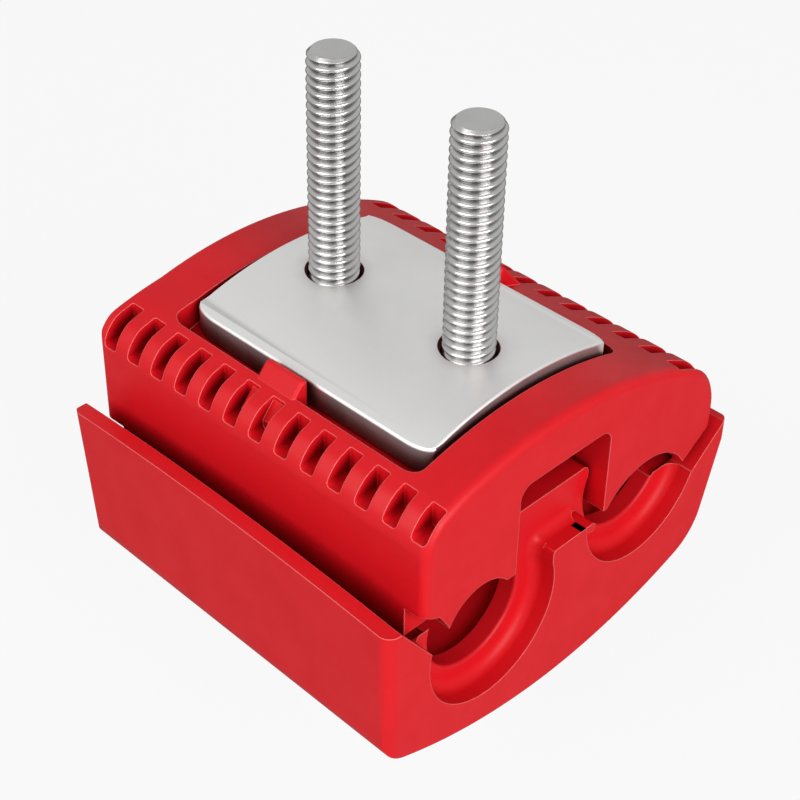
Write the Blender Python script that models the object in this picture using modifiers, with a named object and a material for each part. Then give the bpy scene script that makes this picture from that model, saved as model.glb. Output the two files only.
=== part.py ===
"""Insulation piercing connector, modelled in metres with +Z up.

Two moulded jaws close round a main cable and a tap cable, drawn together by two
shear-head bolts that thread into an arched pressure plate. X runs across the two
cables, Y along them and Z along the bolts. The sizes below are in millimetres,
counted from the bolt line and from the crown of the upper pressure plate. The
model's origin lies on the main cable's axis, halfway along the connector.
"""
import math
from collections import namedtuple

import bmesh
import bpy
from mathutils import Matrix, Vector

MM = 0.001
GAP = 0.3              # air left between pieces that sit against each other
ARC_STEP = 9.0         # degrees for each facet of an outline's round stretches
PAST = 2.0             # how far a cutter runs past the face that it opens
THROUGH = 12.0         # half the length of a cutter that goes right through a thin piece

MAIN_X = 23.7          # main cable's axis from the bolt line
MAIN_Z = -34.7         # main cable's axis from the plate's crown

LOWER_HALF = 43.6      # half the lower jaw's length along the cables
UPPER_HALF = 42.4      # half the upper jaw's length
MOUTH_DEPTH = 5.1      # the lower groove mouths end in a shoulder this far in
MOUTH_FILLET = 2.2     # hollow fillet between a mouth and its shoulder
MOUTH_FLARE = 0.5      # widening of each mouth at the end face
THROAT_NOSE = 0.6      # rounding of the throats' rims
END_WALL_T = 5.3       # thickness of the lower jaw's end walls
LOWER_RIB_T = 9.0      # from the lower jaw's end face to the pockets inside
UPPER_RIB_T = 7.8      # the same in the upper jaw
POCKET_STEP = 0.8

BOLT_SPACING = 35.3
BOLT_R = 5.0
BOLT_HOLE_R = 5.6
BOLT_TOP = 46.6        # free end of the bolts above the plate's crown
BOLT_CHAMFER = 1.0
BOLT_FACETS = 32

PLATE_HALF_X = 24.4
PLATE_HALF_Y = 31.0
PLATE_T = 5.4
PLATE_ARCH_R = 74.7
PLATE_CORNER_R = 4.6
PLATE_EDGE_R = 0.9
PLATE_HOLE_R = 5.3
PLATE_HOLE_CHAMFER = 0.9
RECESS_SIDE = 1.4      # room between a pressure plate and its recess
RECESS_CORNER_R = 3.6
RECESS_OPEN = 6.0      # the recess cutters reach this far above the crown
RECESS_TAP_SIDE = 4.4  # wider room on the tap side of the upper recess

UPPER_TAP_X = -38.0    # upper jaw's side over the tap cable
UPPER_MAIN_X = 45.5    # upper jaw's side over the main cable
UPPER_APEX_X = -3.0
UPPER_APEX_Z = -1.6
UPPER_DOME_R = 88.0
UPPER_TAP_SHOULDER_R = 7.5
UPPER_MAIN_SHOULDER_R = 14.0
UPPER_SIDE_FOOT_Z = -28.6
UPPER_TAP_TIP = (-29.4, -33.7)
UPPER_MAIN_TIP = (37.0, -33.4)
UPPER_CORE_Z = -31.7   # underside of the upper jaw between the grooves
UPPER_DRAFT = 0.9
UPPER_EDGE_R = 1.2     # rounding of the end faces' outline
UPPER_TAP_EDGE_R = 2.3 # the same down the tap side

SLOT_HALF = 12.4
SLOT_TOP_Z = -11.8
SLOT_CORNER_R = 3.0
SLOT_WEB = 1.35        # wall between a slot and the bolt hole behind it

NOTCH_COUNT = 13
NOTCH_PITCH = 6.63
NOTCH_WIDTH = 2.9
NOTCH_CORNER_R = 0.8
NOTCH_TAP_WALL_X = -30.5
NOTCH_TAP_FLOOR_Z = -11.4
NOTCH_MAIN_WALL_X = 33.0
NOTCH_MAIN_FLOOR_Z = -16.4

LUG_WIDTH = 9.6
LUG_TOP_Z = -2.4
LUG_CLEAR = 1.3        # room between a lug's upright face and the plate
LUG_NOSE = 0.7
LUG_ROOT = 2.5         # the lugs are rooted this far below their feet
LUG_TAP_FOOT = (-31.9, -7.6)
LUG_MAIN_FOOT = (33.2, -9.9)

LOWER_TAP_X = -46.2
LOWER_MAIN_X = 49.9
LOWER_APEX_X = -2.0
LOWER_APEX_Z = -64.4
LOWER_DOME_R = 110.0
LOWER_TAP_CORNER_R = 7.0
LOWER_MAIN_CORNER_R = 12.0
LOWER_TAP_RIM_Z = -24.2
LOWER_MAIN_RIM_Z = -28.9
WALL_TAP_RIM_Z = -24.5 # where the end walls' sloping rims start at the skirts
WALL_MAIN_RIM_Z = -27.3
LOWER_EDGE_R = 1.0
LOWER_SIDE_EDGE_R = 2.8
SKIRT_T = 3.0
DECK_Z = -37.2         # floor between the skirts
TAP_LIP_EDGE = (-35.0, -36.9)
MAIN_LIP_EDGE = (38.9, -36.5)
LEDGE_LEFT_X = -3.2
LEDGE_RIGHT_X = 8.7
LEDGE_Z = -31.3
LEDGE_EDGE = 0.8
TONGUE_HALF = 11.7
TONGUE_TOP_Z = -22.2
TONGUE_CORNER_R = 1.6
TONGUE_CLEAR = 0.5     # room between a tongue's back and its slot
TONGUE_ROOT = 6.0      # the tongues are rooted this far below the deck

LOWER_CROWN_Z = -66.4  # outer crown of the lower pressure plate
SEAT_R = 9.8           # flat spot round each hole of the lower plate
SEAT_DEPTH = 0.7
WASHER_R = 9.2
WASHER_T = 1.8
SPRING_WASHER_R = 8.6
SPRING_WASHER_T = 2.4
SPRING_TAPER = 0.6
HEAD_FLATS = 16.0      # across the flats of the lasting hexagon
HEAD_T = 7.0
NECK_R = 4.0
NECK_T = 1.6
NECK_ROOT = 0.5        # the neck runs this far into both hexagons
SHEAR_FLATS = 13.0     # across the flats of the hexagon that breaks off
SHEAR_T = 9.0
HEX_CHAMFER = 0.6

BLADE_T = 2.2
BLADE_Y = 5.2          # blades stand at plus and minus this
TOOTH_PITCH = 2.9
TOOTH_DEPTH = 3.0
TOOTH_PROUD = 1.2      # how far the teeth stand out of the gaskets
BLADE_END = 1.6        # metal past the last tooth
BLADE_BACK = 2.0       # metal behind the deepest tooth roots
BLADE_CHAMFER = 2.0
SLIT_TAP_INSET = 1.0   # the slits end this far inside the pockets' edges
SLIT_MAIN_INSET = 2.0
TAP_BITE = 34.0        # degrees of teeth to each side of a groove's middle
MAIN_BITE = 30.0
BLADE_UPPER_BRIDGE_Z = -27.4
BLADE_LOWER_BRIDGE_Z = -47.6
GASKET_HALF_Y = 12.0
GASKET_T = 2.2
SEAL_R = 8.4
SEAL_T = 3.6
SEAL_PROUD = 0.6       # how far a seal stands out of the deck
GASKET_WEB = 1.6       # rubber left beside the slits for the blades

# A groove's axis, its mouth at the end faces, the throat behind and the pocket inside
Groove = namedtuple("Groove", "x z mouth throat pocket")
UPPER_TAP = Groove(-21.6, -37.3, 8.9, 8.9, 10.6)
UPPER_MAIN = Groove(24.5, -40.7, 14.3, 14.3, 15.6)
LOWER_TAP = Groove(-19.1, -38.9, 16.6, 11.7, 14.0)
LOWER_MAIN = Groove(22.9, -30.2, 17.0, 11.7, 14.5)

RED = (0.62, 0.012, 0.018, 1.0)
STEEL = (0.70, 0.70, 0.69, 1.0)
COPPER = (0.72, 0.70, 0.66, 1.0)
RUBBER = (0.03, 0.03, 0.035, 1.0)


def at(x, y, z):
    """World position of a point given in millimetres from bolt line and plate crown."""
    return Vector(((x - MAIN_X) * MM, y * MM, (z - MAIN_Z) * MM))


def clear_scene():
    for obj in list(bpy.data.objects):
        bpy.data.objects.remove(obj, do_unlink=True)


def new_collection(name):
    collection = bpy.data.collections.new(name)
    bpy.context.scene.collection.children.link(collection)
    return collection


def material(name, color, roughness, metallic):
    mat = bpy.data.materials.new(name)
    mat.use_nodes = True
    shader = mat.node_tree.nodes["Principled BSDF"]
    shader.inputs["Base Color"].default_value = color
    shader.inputs["Roughness"].default_value = roughness
    shader.inputs["Metallic"].default_value = metallic
    return mat


def arc(x, z, r, start, end):
    """Points of an arc in the XZ plane, from one angle to the other in degrees."""
    steps = max(1, round(abs(end - start) / ARC_STEP))
    points = []
    for i in range(steps + 1):
        a = math.radians(start + (end - start) * i / steps)
        points.append((x + r * math.cos(a), z + r * math.sin(a)))
    return points


def slab(name, outline, y0, y1):
    """A closed XZ outline made solid between two stations along the cables."""
    curve = bpy.data.curves.new(name, "CURVE")
    curve.dimensions = "2D"
    curve.fill_mode = "BOTH"
    curve.extrude = (y1 - y0) / 2 * MM
    spline = curve.splines.new("POLY")
    spline.points.add(len(outline) - 1)
    for point, (x, z) in zip(spline.points, outline):
        place = at(x, 0, z)
        point.co = (place.x, place.z, 0, 1)
    spline.use_cyclic_u = True
    source = bpy.data.objects.new(name, curve)
    bpy.context.scene.collection.objects.link(source)
    graph = bpy.context.evaluated_depsgraph_get()
    mesh = bpy.data.meshes.new_from_object(source.evaluated_get(graph))
    bpy.data.objects.remove(source)
    mesh.transform(Matrix.Translation((0, (y0 + y1) / 2 * MM, 0)) @ Matrix.Rotation(math.pi / 2, 4, "X"))
    bm = bmesh.new()
    bm.from_mesh(mesh)
    bmesh.ops.remove_doubles(bm, verts=bm.verts, dist=MM * 0.001)
    bmesh.ops.dissolve_limit(bm, angle_limit=math.radians(0.5), verts=bm.verts, edges=bm.edges)
    bmesh.ops.recalc_face_normals(bm, faces=bm.faces)
    bm.to_mesh(mesh)
    bm.free()
    return mesh


def box(name, low, high, corner=0.0):
    """A block between two corners, with all its edges rounded by corner."""
    mesh = bpy.data.meshes.new(name)
    size = at(*high) - at(*low)
    middle = (at(*high) + at(*low)) / 2
    bm = bmesh.new()
    bmesh.ops.create_cube(bm, size=1.0)
    bmesh.ops.scale(bm, vec=size, verts=bm.verts)
    bmesh.ops.translate(bm, vec=middle, verts=bm.verts)
    if corner:
        bmesh.ops.bevel(bm, geom=bm.edges, offset=corner * MM, segments=2, profile=0.5,
                        affect="EDGES", material=-1)
    bm.to_mesh(mesh)
    bm.free()
    return mesh


def rod(name, axis, centre, r, length, segments=32, tip_r=None):
    """A cylinder or cone along Y or Z; centre is its middle, tip_r its far end's radius."""
    mesh = bpy.data.meshes.new(name)
    bm = bmesh.new()
    bmesh.ops.create_cone(bm, cap_ends=True, segments=segments, radius1=r * MM,
                          radius2=(r if tip_r is None else tip_r) * MM, depth=length * MM)
    if axis == "Y":
        bmesh.ops.rotate(bm, matrix=Matrix.Rotation(-math.pi / 2, 3, "X"), verts=bm.verts)
    bmesh.ops.translate(bm, vec=at(*centre), verts=bm.verts)
    bm.to_mesh(mesh)
    bm.free()
    return mesh


def turned(name, axis, x, y, z, profile, segments=32):
    """A solid of revolution; profile holds (radius, station), the stations rising along the axis."""
    mesh = bpy.data.meshes.new(name)
    bm = bmesh.new()
    low, high = profile[0][1], profile[-1][1]
    points = [(0.0, low)] + list(profile) + [(0.0, high)]
    verts = [bm.verts.new((r * MM, 0, s * MM)) for r, s in points]
    edges = [bm.edges.new(pair) for pair in zip(verts, verts[1:])]
    bmesh.ops.spin(bm, geom=verts + edges, cent=(0, 0, 0), axis=(0, 0, 1), angle=math.tau,
                   steps=segments, use_merge=True)
    bmesh.ops.remove_doubles(bm, verts=bm.verts, dist=MM * 0.001)
    bmesh.ops.recalc_face_normals(bm, faces=bm.faces)
    if axis == "Y":
        bmesh.ops.rotate(bm, matrix=Matrix.Rotation(-math.pi / 2, 3, "X"), verts=bm.verts)
    bmesh.ops.translate(bm, vec=at(x, y, z), verts=bm.verts)
    bm.to_mesh(mesh)
    bm.free()
    return mesh


class Builder:
    """Holds the two collections and adds pieces, cutters and Boolean steps."""

    def __init__(self):
        self.parts = new_collection("insulation_piercing_connector")
        self.cutters = new_collection("cutters")
        self.looks = {
            "red": ("nylon_red", RED, 0.38, 0.0),
            "steel": ("zinc_plated_steel", STEEL, 0.30, 1.0),
            "contact": ("tinned_copper", COPPER, 0.35, 1.0),
            "rubber": ("sealing_rubber", RUBBER, 0.75, 0.0),
        }

    def add(self, name, mesh, look, origin=None):
        obj = bpy.data.objects.new(name, mesh)
        self.parts.objects.link(obj)
        if origin is not None:
            mesh.transform(Matrix.Translation(-origin))
            obj.location = origin
        label, color, roughness, metallic = self.looks[look]
        mesh.materials.append(material(name + "_" + label, color, roughness, metallic))
        return obj

    def boolean(self, target, mesh, operation="DIFFERENCE"):
        cutter = bpy.data.objects.new(mesh.name, mesh)
        self.cutters.objects.link(cutter)
        cutter.hide_render = True
        cutter.display_type = "WIRE"
        step = target.modifiers.new(mesh.name, "BOOLEAN")
        step.object = cutter
        step.operation = operation
        step.solver = "EXACT"

    def cut(self, target, *meshes):
        for mesh in meshes:
            self.boolean(target, mesh)

    def join(self, target, *meshes):
        for mesh in meshes:
            self.boolean(target, mesh, "UNION")


def shade(obj, angle=35.0):
    obj.data.shade_smooth()
    obj.data.set_sharp_from_angle(angle=math.radians(angle))


def bolt_stations():
    return (("near", -BOLT_SPACING / 2), ("far", BOLT_SPACING / 2))


def dome_corner(apex_x, apex_z, dome_r, side_x, corner_r, up):
    """Centre of the fillet between a domed back and a side wall, and its angle on the dome."""
    centre_z = apex_z - up * dome_r
    x = side_x - math.copysign(corner_r, side_x - apex_x)
    z = centre_z + up * math.sqrt((dome_r - corner_r) ** 2 - (x - apex_x) ** 2)
    return x, z, math.degrees(math.atan2(z - centre_z, x - apex_x))


def dome_line(apex_x, apex_z, dome_r, start, end, up):
    return arc(apex_x, apex_z - up * dome_r, dome_r, start, end)[1:-1]


def round_end_outline(obj, radius_at):
    """Bevel the outline of both end faces; radius_at gives the radius at a point, or zero."""
    mesh = obj.data
    widest = 0.0
    bm = bmesh.new()
    bm.from_mesh(mesh)
    weight = bm.edges.layers.float.new("bevel_weight_edge")
    for edge in bm.edges:
        a, b = (vert.co for vert in edge.verts)
        if abs(a.y - b.y) < MM * 0.01:
            middle = (a + b) / 2 / MM
            edge[weight] = radius_at(middle.x + MAIN_X, middle.z + MAIN_Z)
            widest = max(widest, edge[weight])
    for edge in bm.edges:
        edge[weight] /= widest
    bm.to_mesh(mesh)
    bm.free()
    step = obj.modifiers.new("end_rounding", "BEVEL")
    step.limit_method = "WEIGHT"
    step.width = widest * MM
    step.segments = 3
    step.use_clamp_overlap = False


def groove_cutter(name, groove, half_length, rib):
    """Both end mouths, the throats and the inner pocket of one cable groove."""
    shoulder, inner = half_length - MOUTH_DEPTH, half_length - rib
    wide = groove.mouth + MOUTH_FLARE
    lip = [(groove.mouth, half_length - THROAT_NOSE), (wide, half_length + MOUTH_FLARE),
           (wide, half_length + PAST)]
    if groove.mouth > groove.throat:
        r = MOUTH_FILLET
        hollow = [(groove.mouth - r + r * math.sin(math.radians(a)),
                   shoulder + r - r * math.cos(math.radians(a))) for a in range(0, 91, 30)]
        half = [(groove.pocket, inner - POCKET_STEP), (groove.throat, inner),
                (groove.throat, shoulder - THROAT_NOSE), (groove.throat + THROAT_NOSE, shoulder)]
        half += hollow + lip
    else:
        half = [(groove.pocket, inner), (groove.mouth, inner + POCKET_STEP)] + lip
    profile = [(r, -s) for r, s in reversed(half)] + half
    return turned(name, "Y", groove.x, 0, groove.z, profile, segments=40)


def arched_plate_outline(crown_z, half_x, thickness, up):
    """Cross-section of an arched plate, convex upwards or downwards."""
    centre_z = crown_z - up * PLATE_ARCH_R
    lean = math.degrees(math.asin(half_x / PLATE_ARCH_R))
    middle = 90.0 * up
    outer = arc(0, centre_z, PLATE_ARCH_R, middle - lean, middle + lean)
    inner = [(x, z - up * thickness) for x, z in reversed(outer)]
    return outer + inner


def plate_blank(name, crown_z, up):
    """The arched plate with rounded corners and softened edges."""
    mesh = slab(name, arched_plate_outline(crown_z, PLATE_HALF_X, PLATE_T, up),
                -PLATE_HALF_Y, PLATE_HALF_Y)
    bm = bmesh.new()
    bm.from_mesh(mesh)
    upright = [e for e in bm.edges if abs(e.verts[0].co.x - e.verts[1].co.x) < MM * 0.01
               and abs(e.verts[0].co.y - e.verts[1].co.y) < MM * 0.01]
    bmesh.ops.bevel(bm, geom=upright, offset=PLATE_CORNER_R * MM, segments=5, profile=0.5,
                    affect="EDGES", material=-1)
    rim = [e for e in bm.edges if e.calc_face_angle() > math.radians(60)]
    bmesh.ops.bevel(bm, geom=rim, offset=PLATE_EDGE_R * MM, segments=2, profile=0.5,
                    affect="EDGES", material=-1)
    bm.to_mesh(mesh)
    bm.free()
    return mesh


def recess_cutter(name, crown_z, tap_side, up):
    """Room for a pressure plate, open outwards, with a floor that follows its arch."""
    low_x = -PLATE_HALF_X - tap_side
    high_x = PLATE_HALF_X + RECESS_SIDE
    centre_z = crown_z - up * PLATE_ARCH_R
    floor_r = PLATE_ARCH_R
    start = math.degrees(math.acos(low_x / floor_r)) * up
    end = math.degrees(math.acos(high_x / floor_r)) * up
    floor = [(x, z - up * (PLATE_T + GAP)) for x, z in arc(0, centre_z, floor_r, start, end)]
    open_z = crown_z + up * RECESS_OPEN
    mesh = slab(name, floor + [(high_x, open_z), (low_x, open_z)],
                -PLATE_HALF_Y - RECESS_SIDE, PLATE_HALF_Y + RECESS_SIDE)
    bm = bmesh.new()
    bm.from_mesh(mesh)
    upright = [e for e in bm.edges if abs(e.verts[0].co.x - e.verts[1].co.x) < MM * 0.01
               and abs(e.verts[0].co.y - e.verts[1].co.y) < MM * 0.01]
    bmesh.ops.bevel(bm, geom=upright, offset=RECESS_CORNER_R * MM, segments=4, profile=0.5,
                    affect="EDGES", material=-1)
    bm.to_mesh(mesh)
    bm.free()
    return mesh


def upper_outline():
    """End view of the upper jaw: domed back, two shoulders, side walls and sharp tips."""
    tap_x, tap_z, tap_angle = dome_corner(UPPER_APEX_X, UPPER_APEX_Z, UPPER_DOME_R,
                                          UPPER_TAP_X, UPPER_TAP_SHOULDER_R, 1)
    main_x, main_z, main_angle = dome_corner(UPPER_APEX_X, UPPER_APEX_Z, UPPER_DOME_R,
                                             UPPER_MAIN_X, UPPER_MAIN_SHOULDER_R, 1)
    outline = [UPPER_TAP_TIP, (UPPER_TAP_X + UPPER_DRAFT, UPPER_SIDE_FOOT_Z)]
    outline += arc(tap_x, tap_z, UPPER_TAP_SHOULDER_R, 180.0, tap_angle)
    outline += dome_line(UPPER_APEX_X, UPPER_APEX_Z, UPPER_DOME_R, tap_angle, main_angle, 1)
    outline += arc(main_x, main_z, UPPER_MAIN_SHOULDER_R, main_angle, 0.0)
    outline += [(UPPER_MAIN_X, UPPER_SIDE_FOOT_Z + 1.2), UPPER_MAIN_TIP]
    outline += [(UPPER_MAIN.x, UPPER_CORE_Z), (UPPER_TAP.x, UPPER_CORE_Z)]
    return outline


def notch_rows():
    """Thirteen finger notches through each shoulder, as one block of cutters a side."""
    sides = (("tap_notches", UPPER_TAP_X - PAST, NOTCH_TAP_WALL_X, NOTCH_TAP_FLOOR_Z),
             ("main_notches", NOTCH_MAIN_WALL_X, UPPER_MAIN_X + PAST, NOTCH_MAIN_FLOOR_Z))
    for name, x0, x1, floor_z in sides:
        bm = bmesh.new()
        for i in range(NOTCH_COUNT):
            y = (i - (NOTCH_COUNT - 1) / 2) * NOTCH_PITCH
            one = box(name + "_one", (x0, y - NOTCH_WIDTH / 2, floor_z),
                      (x1, y + NOTCH_WIDTH / 2, RECESS_OPEN), NOTCH_CORNER_R)
            bm.from_mesh(one)
            bpy.data.meshes.remove(one)
        mesh = bpy.data.meshes.new(name)
        bm.to_mesh(mesh)
        bm.free()
        yield mesh


def lug(name, foot, side):
    """A wedge beside the plate, upright on its inner face; side is -1 or 1."""
    inner_x = side * (PLATE_HALF_X + LUG_CLEAR)
    root_z = foot[1] - LUG_ROOT
    outline = [(inner_x, root_z), (inner_x, LUG_TOP_Z - LUG_NOSE), (inner_x + side * LUG_NOSE, LUG_TOP_Z),
               foot, (foot[0], root_z)]
    return slab(name, outline, -LUG_WIDTH / 2, LUG_WIDTH / 2)


def blade_back(tap, main, up):
    """Height of the blades' straight back edge, behind the deepest tooth roots."""
    return max(up * g.z + bite_radius(g) + TOOTH_DEPTH + BLADE_BACK for g in (tap, main)) * up


def blade_slits(name, tap, main, mouth_z, up):
    """Slits that hold the contact blades, open towards mouth_z."""
    floor_z = blade_back(tap, main, up) + up * 2 * GAP
    low_x = tap.x - tap.pocket + SLIT_TAP_INSET
    high_x = main.x + main.pocket - SLIT_MAIN_INSET
    half = BLADE_T / 2 + GAP
    for label, y in (("near", -BLADE_Y), ("far", BLADE_Y)):
        yield box(name + "_" + label, (low_x, y - half, min(floor_z, mouth_z)),
                  (high_x, y + half, max(floor_z, mouth_z)))


def slot_end():
    """Where the slots stop, short of the bolts."""
    return BOLT_SPACING / 2 + BOLT_HOLE_R + SLOT_WEB


def bolt_holes(name, r, low_z, high_z):
    for label, y in bolt_stations():
        yield rod(name + "_" + label, "Z", (0, y, (low_z + high_z) / 2), r, high_z - low_z, 28)


def upper_end_radius(x, z):
    """Rounding of the upper jaw's end outline: fuller down the tap side, none underneath."""
    if z < UPPER_SIDE_FOOT_Z - 0.5:
        return 0.0
    if x > UPPER_TAP_X + 6.0:
        return UPPER_EDGE_R
    share = min(1.0, (UPPER_TAP_X + 6.0 - x) / 5.0)
    return UPPER_EDGE_R + share * (UPPER_TAP_EDGE_R - UPPER_EDGE_R)


def lower_end_radius(x, z):
    """Rounding of the lower jaw's end outline: full up the skirts, light underneath."""
    if z > LOWER_MAIN_RIM_Z + 0.5 and LOWER_TAP_X + 1.0 < x:
        return 0.0
    inside = min(x - LOWER_TAP_X, LOWER_MAIN_X - x)
    share = max(0.0, min(1.0, (10.0 - inside) / 8.0))
    return LOWER_EDGE_R + share * (LOWER_SIDE_EDGE_R - LOWER_EDGE_R)


def upper_jaw(build):
    jaw = build.add("upper_jaw", slab("upper_jaw", upper_outline(), -UPPER_HALF, UPPER_HALF), "red")
    round_end_outline(jaw, upper_end_radius)
    build.cut(jaw, recess_cutter("upper_recess", 0.0, RECESS_TAP_SIDE, 1))
    build.cut(jaw, groove_cutter("upper_tap_groove", UPPER_TAP, UPPER_HALF, UPPER_RIB_T))
    build.cut(jaw, groove_cutter("upper_main_groove", UPPER_MAIN, UPPER_HALF, UPPER_RIB_T))
    open_y, foot_z = UPPER_HALF + PAST, UPPER_CORE_Z - 2 * PAST
    for side, y0, y1 in (("near", -open_y, -slot_end()), ("far", slot_end(), open_y)):
        corner = SLOT_CORNER_R
        outline = [(-SLOT_HALF, foot_z)]
        outline += arc(corner - SLOT_HALF, SLOT_TOP_Z - corner, corner, 180, 90)
        outline += arc(SLOT_HALF - corner, SLOT_TOP_Z - corner, corner, 90, 0)
        outline += [(SLOT_HALF, foot_z)]
        build.cut(jaw, slab("upper_slot_" + side, outline, y0, y1))
    build.cut(jaw, *notch_rows())
    build.join(jaw, lug("tap_lug", LUG_TAP_FOOT, -1), lug("main_lug", LUG_MAIN_FOOT, 1))
    build.cut(jaw, *bolt_holes("upper_bolt_hole", BOLT_HOLE_R, foot_z, RECESS_OPEN))
    build.cut(jaw, *blade_slits("upper_slit", UPPER_TAP, UPPER_MAIN, UPPER_CORE_Z - 3 * PAST, 1))
    shade(jaw)


def end_wall_cut(name, y0, y1):
    """Opens an end wall down to its lips, leaving the ledge between the grooves."""
    tap_slope = (TAP_LIP_EDGE[1] - WALL_TAP_RIM_Z) / (TAP_LIP_EDGE[0] - LOWER_TAP_X)
    tap_edge = LOWER_TAP_X - PAST
    tap_z = TAP_LIP_EDGE[1] + tap_slope * (tap_edge - TAP_LIP_EDGE[0])
    main_slope = (MAIN_LIP_EDGE[1] - WALL_MAIN_RIM_Z) / (MAIN_LIP_EDGE[0] - LOWER_MAIN_X)
    main_edge = LOWER_MAIN_X + PAST
    main_z = MAIN_LIP_EDGE[1] + main_slope * (main_edge - MAIN_LIP_EDGE[0])
    outline = [(tap_edge, tap_z), TAP_LIP_EDGE, (LEDGE_LEFT_X, TAP_LIP_EDGE[1]),
               (LEDGE_LEFT_X, LEDGE_Z - LEDGE_EDGE), (LEDGE_LEFT_X + LEDGE_EDGE, LEDGE_Z),
               (LEDGE_RIGHT_X, LEDGE_Z),
               (LEDGE_RIGHT_X, MAIN_LIP_EDGE[1]), MAIN_LIP_EDGE, (main_edge, main_z),
               (main_edge, 0), (tap_edge, 0)]
    return slab(name, outline, y0, y1)


def lower_outline():
    """End view of the lower jaw: skirts of unlike height over a domed underside."""
    tap_x, tap_z, tap_angle = dome_corner(LOWER_APEX_X, LOWER_APEX_Z, LOWER_DOME_R,
                                          LOWER_TAP_X, LOWER_TAP_CORNER_R, -1)
    main_x, main_z, main_angle = dome_corner(LOWER_APEX_X, LOWER_APEX_Z, LOWER_DOME_R,
                                             LOWER_MAIN_X, LOWER_MAIN_CORNER_R, -1)
    outline = [(LOWER_TAP_X + 0.2, LOWER_TAP_RIM_Z)]
    outline += arc(tap_x, tap_z, LOWER_TAP_CORNER_R, -180.0, tap_angle)
    outline += dome_line(LOWER_APEX_X, LOWER_APEX_Z, LOWER_DOME_R, tap_angle, main_angle, -1)
    outline += arc(main_x, main_z, LOWER_MAIN_CORNER_R, main_angle, 0.0)
    outline += [(LOWER_MAIN_X + 0.4, LOWER_MAIN_RIM_Z)]
    return outline


def lower_jaw(build):
    jaw = build.add("lower_jaw", slab("lower_jaw", lower_outline(), -LOWER_HALF, LOWER_HALF), "red")
    round_end_outline(jaw, lower_end_radius)
    cavity = [(LOWER_TAP_X + SKIRT_T, DECK_Z), (LOWER_MAIN_X - SKIRT_T, DECK_Z),
              (LOWER_MAIN_X - SKIRT_T, 0), (LOWER_TAP_X + SKIRT_T, 0)]
    wall_y = LOWER_HALF - END_WALL_T
    build.cut(jaw, slab("lower_cavity", cavity, -wall_y, wall_y))
    outer_y, inner_y = LOWER_HALF + PAST, wall_y - GAP
    for side, y0, y1 in (("near", -outer_y, -inner_y), ("far", inner_y, outer_y)):
        build.cut(jaw, end_wall_cut("lower_mouth_" + side, y0, y1))
    outer_y, inner_y = LOWER_HALF - MOUTH_DEPTH + GAP / 3, slot_end() + TONGUE_CLEAR
    for side, y0, y1 in (("near", -outer_y, -inner_y), ("far", inner_y, outer_y)):
        corner = TONGUE_CORNER_R
        outline = [(-TONGUE_HALF, DECK_Z - TONGUE_ROOT)]
        outline += arc(corner - TONGUE_HALF, TONGUE_TOP_Z - corner, corner, 180, 90)
        outline += arc(TONGUE_HALF - corner, TONGUE_TOP_Z - corner, corner, 90, 0)
        outline += [(TONGUE_HALF, DECK_Z - TONGUE_ROOT)]
        build.join(jaw, slab("tongue_" + side, outline, y0, y1))
    build.cut(jaw, groove_cutter("lower_tap_groove", LOWER_TAP, LOWER_HALF, LOWER_RIB_T))
    build.cut(jaw, groove_cutter("lower_main_groove", LOWER_MAIN, LOWER_HALF, LOWER_RIB_T))
    build.cut(jaw, recess_cutter("lower_recess", LOWER_CROWN_Z, RECESS_SIDE, -1))
    build.cut(jaw, *bolt_holes("lower_bolt_hole", BOLT_HOLE_R, LOWER_APEX_Z - PAST, TONGUE_TOP_Z + PAST))
    build.cut(jaw, *bolt_holes("seal_seat", SEAL_R + GAP, DECK_Z - SEAL_T + SEAL_PROUD, DECK_Z + PAST))
    build.cut(jaw, *blade_slits("lower_slit", LOWER_TAP, LOWER_MAIN, DECK_Z + PAST, -1))
    shade(jaw)


def pressure_plate(build, name, crown_z, up):
    plate = build.add(name, plate_blank(name, crown_z, up), "steel")
    build.cut(plate, *bolt_holes(name + "_hole", PLATE_HOLE_R, crown_z - THROUGH, crown_z + THROUGH))
    if up > 0:
        depth = PLATE_HOLE_CHAMFER
        for label, y in bolt_stations():
            build.cut(plate, rod(name + "_chamfer_" + label, "Z", (0, y, crown_z),
                                 PLATE_HOLE_R, 2 * depth, 28, PLATE_HOLE_R + 2 * depth))
    else:
        for label, y in bolt_stations():
            build.cut(plate, rod(name + "_seat_" + label, "Z", (0, y, crown_z - PAST + SEAT_DEPTH),
                                 SEAT_R, 2 * PAST, 32))
    shade(plate)


def head_levels():
    """Heights of the faces below the lower plate, from its seat down to the shear head."""
    seat = LOWER_CROWN_Z + SEAT_DEPTH
    washer = seat - GAP
    spring = washer - WASHER_T - GAP
    head = spring - SPRING_WASHER_T - GAP
    return washer, spring, head


def hexagon(name, y, flats, low_z, high_z):
    """A hexagon along Z with a light chamfer on both rims."""
    mesh = rod(name, "Z", (0, y, (low_z + high_z) / 2), flats / math.sqrt(3), high_z - low_z, 6)
    bm = bmesh.new()
    bm.from_mesh(mesh)
    rims = [e for e in bm.edges if abs(e.verts[0].co.z - e.verts[1].co.z) < MM * 0.01]
    bmesh.ops.bevel(bm, geom=rims, offset=HEX_CHAMFER * MM, segments=1, profile=0.5,
                    affect="EDGES", material=-1)
    bm.to_mesh(mesh)
    bm.free()
    return mesh


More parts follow.
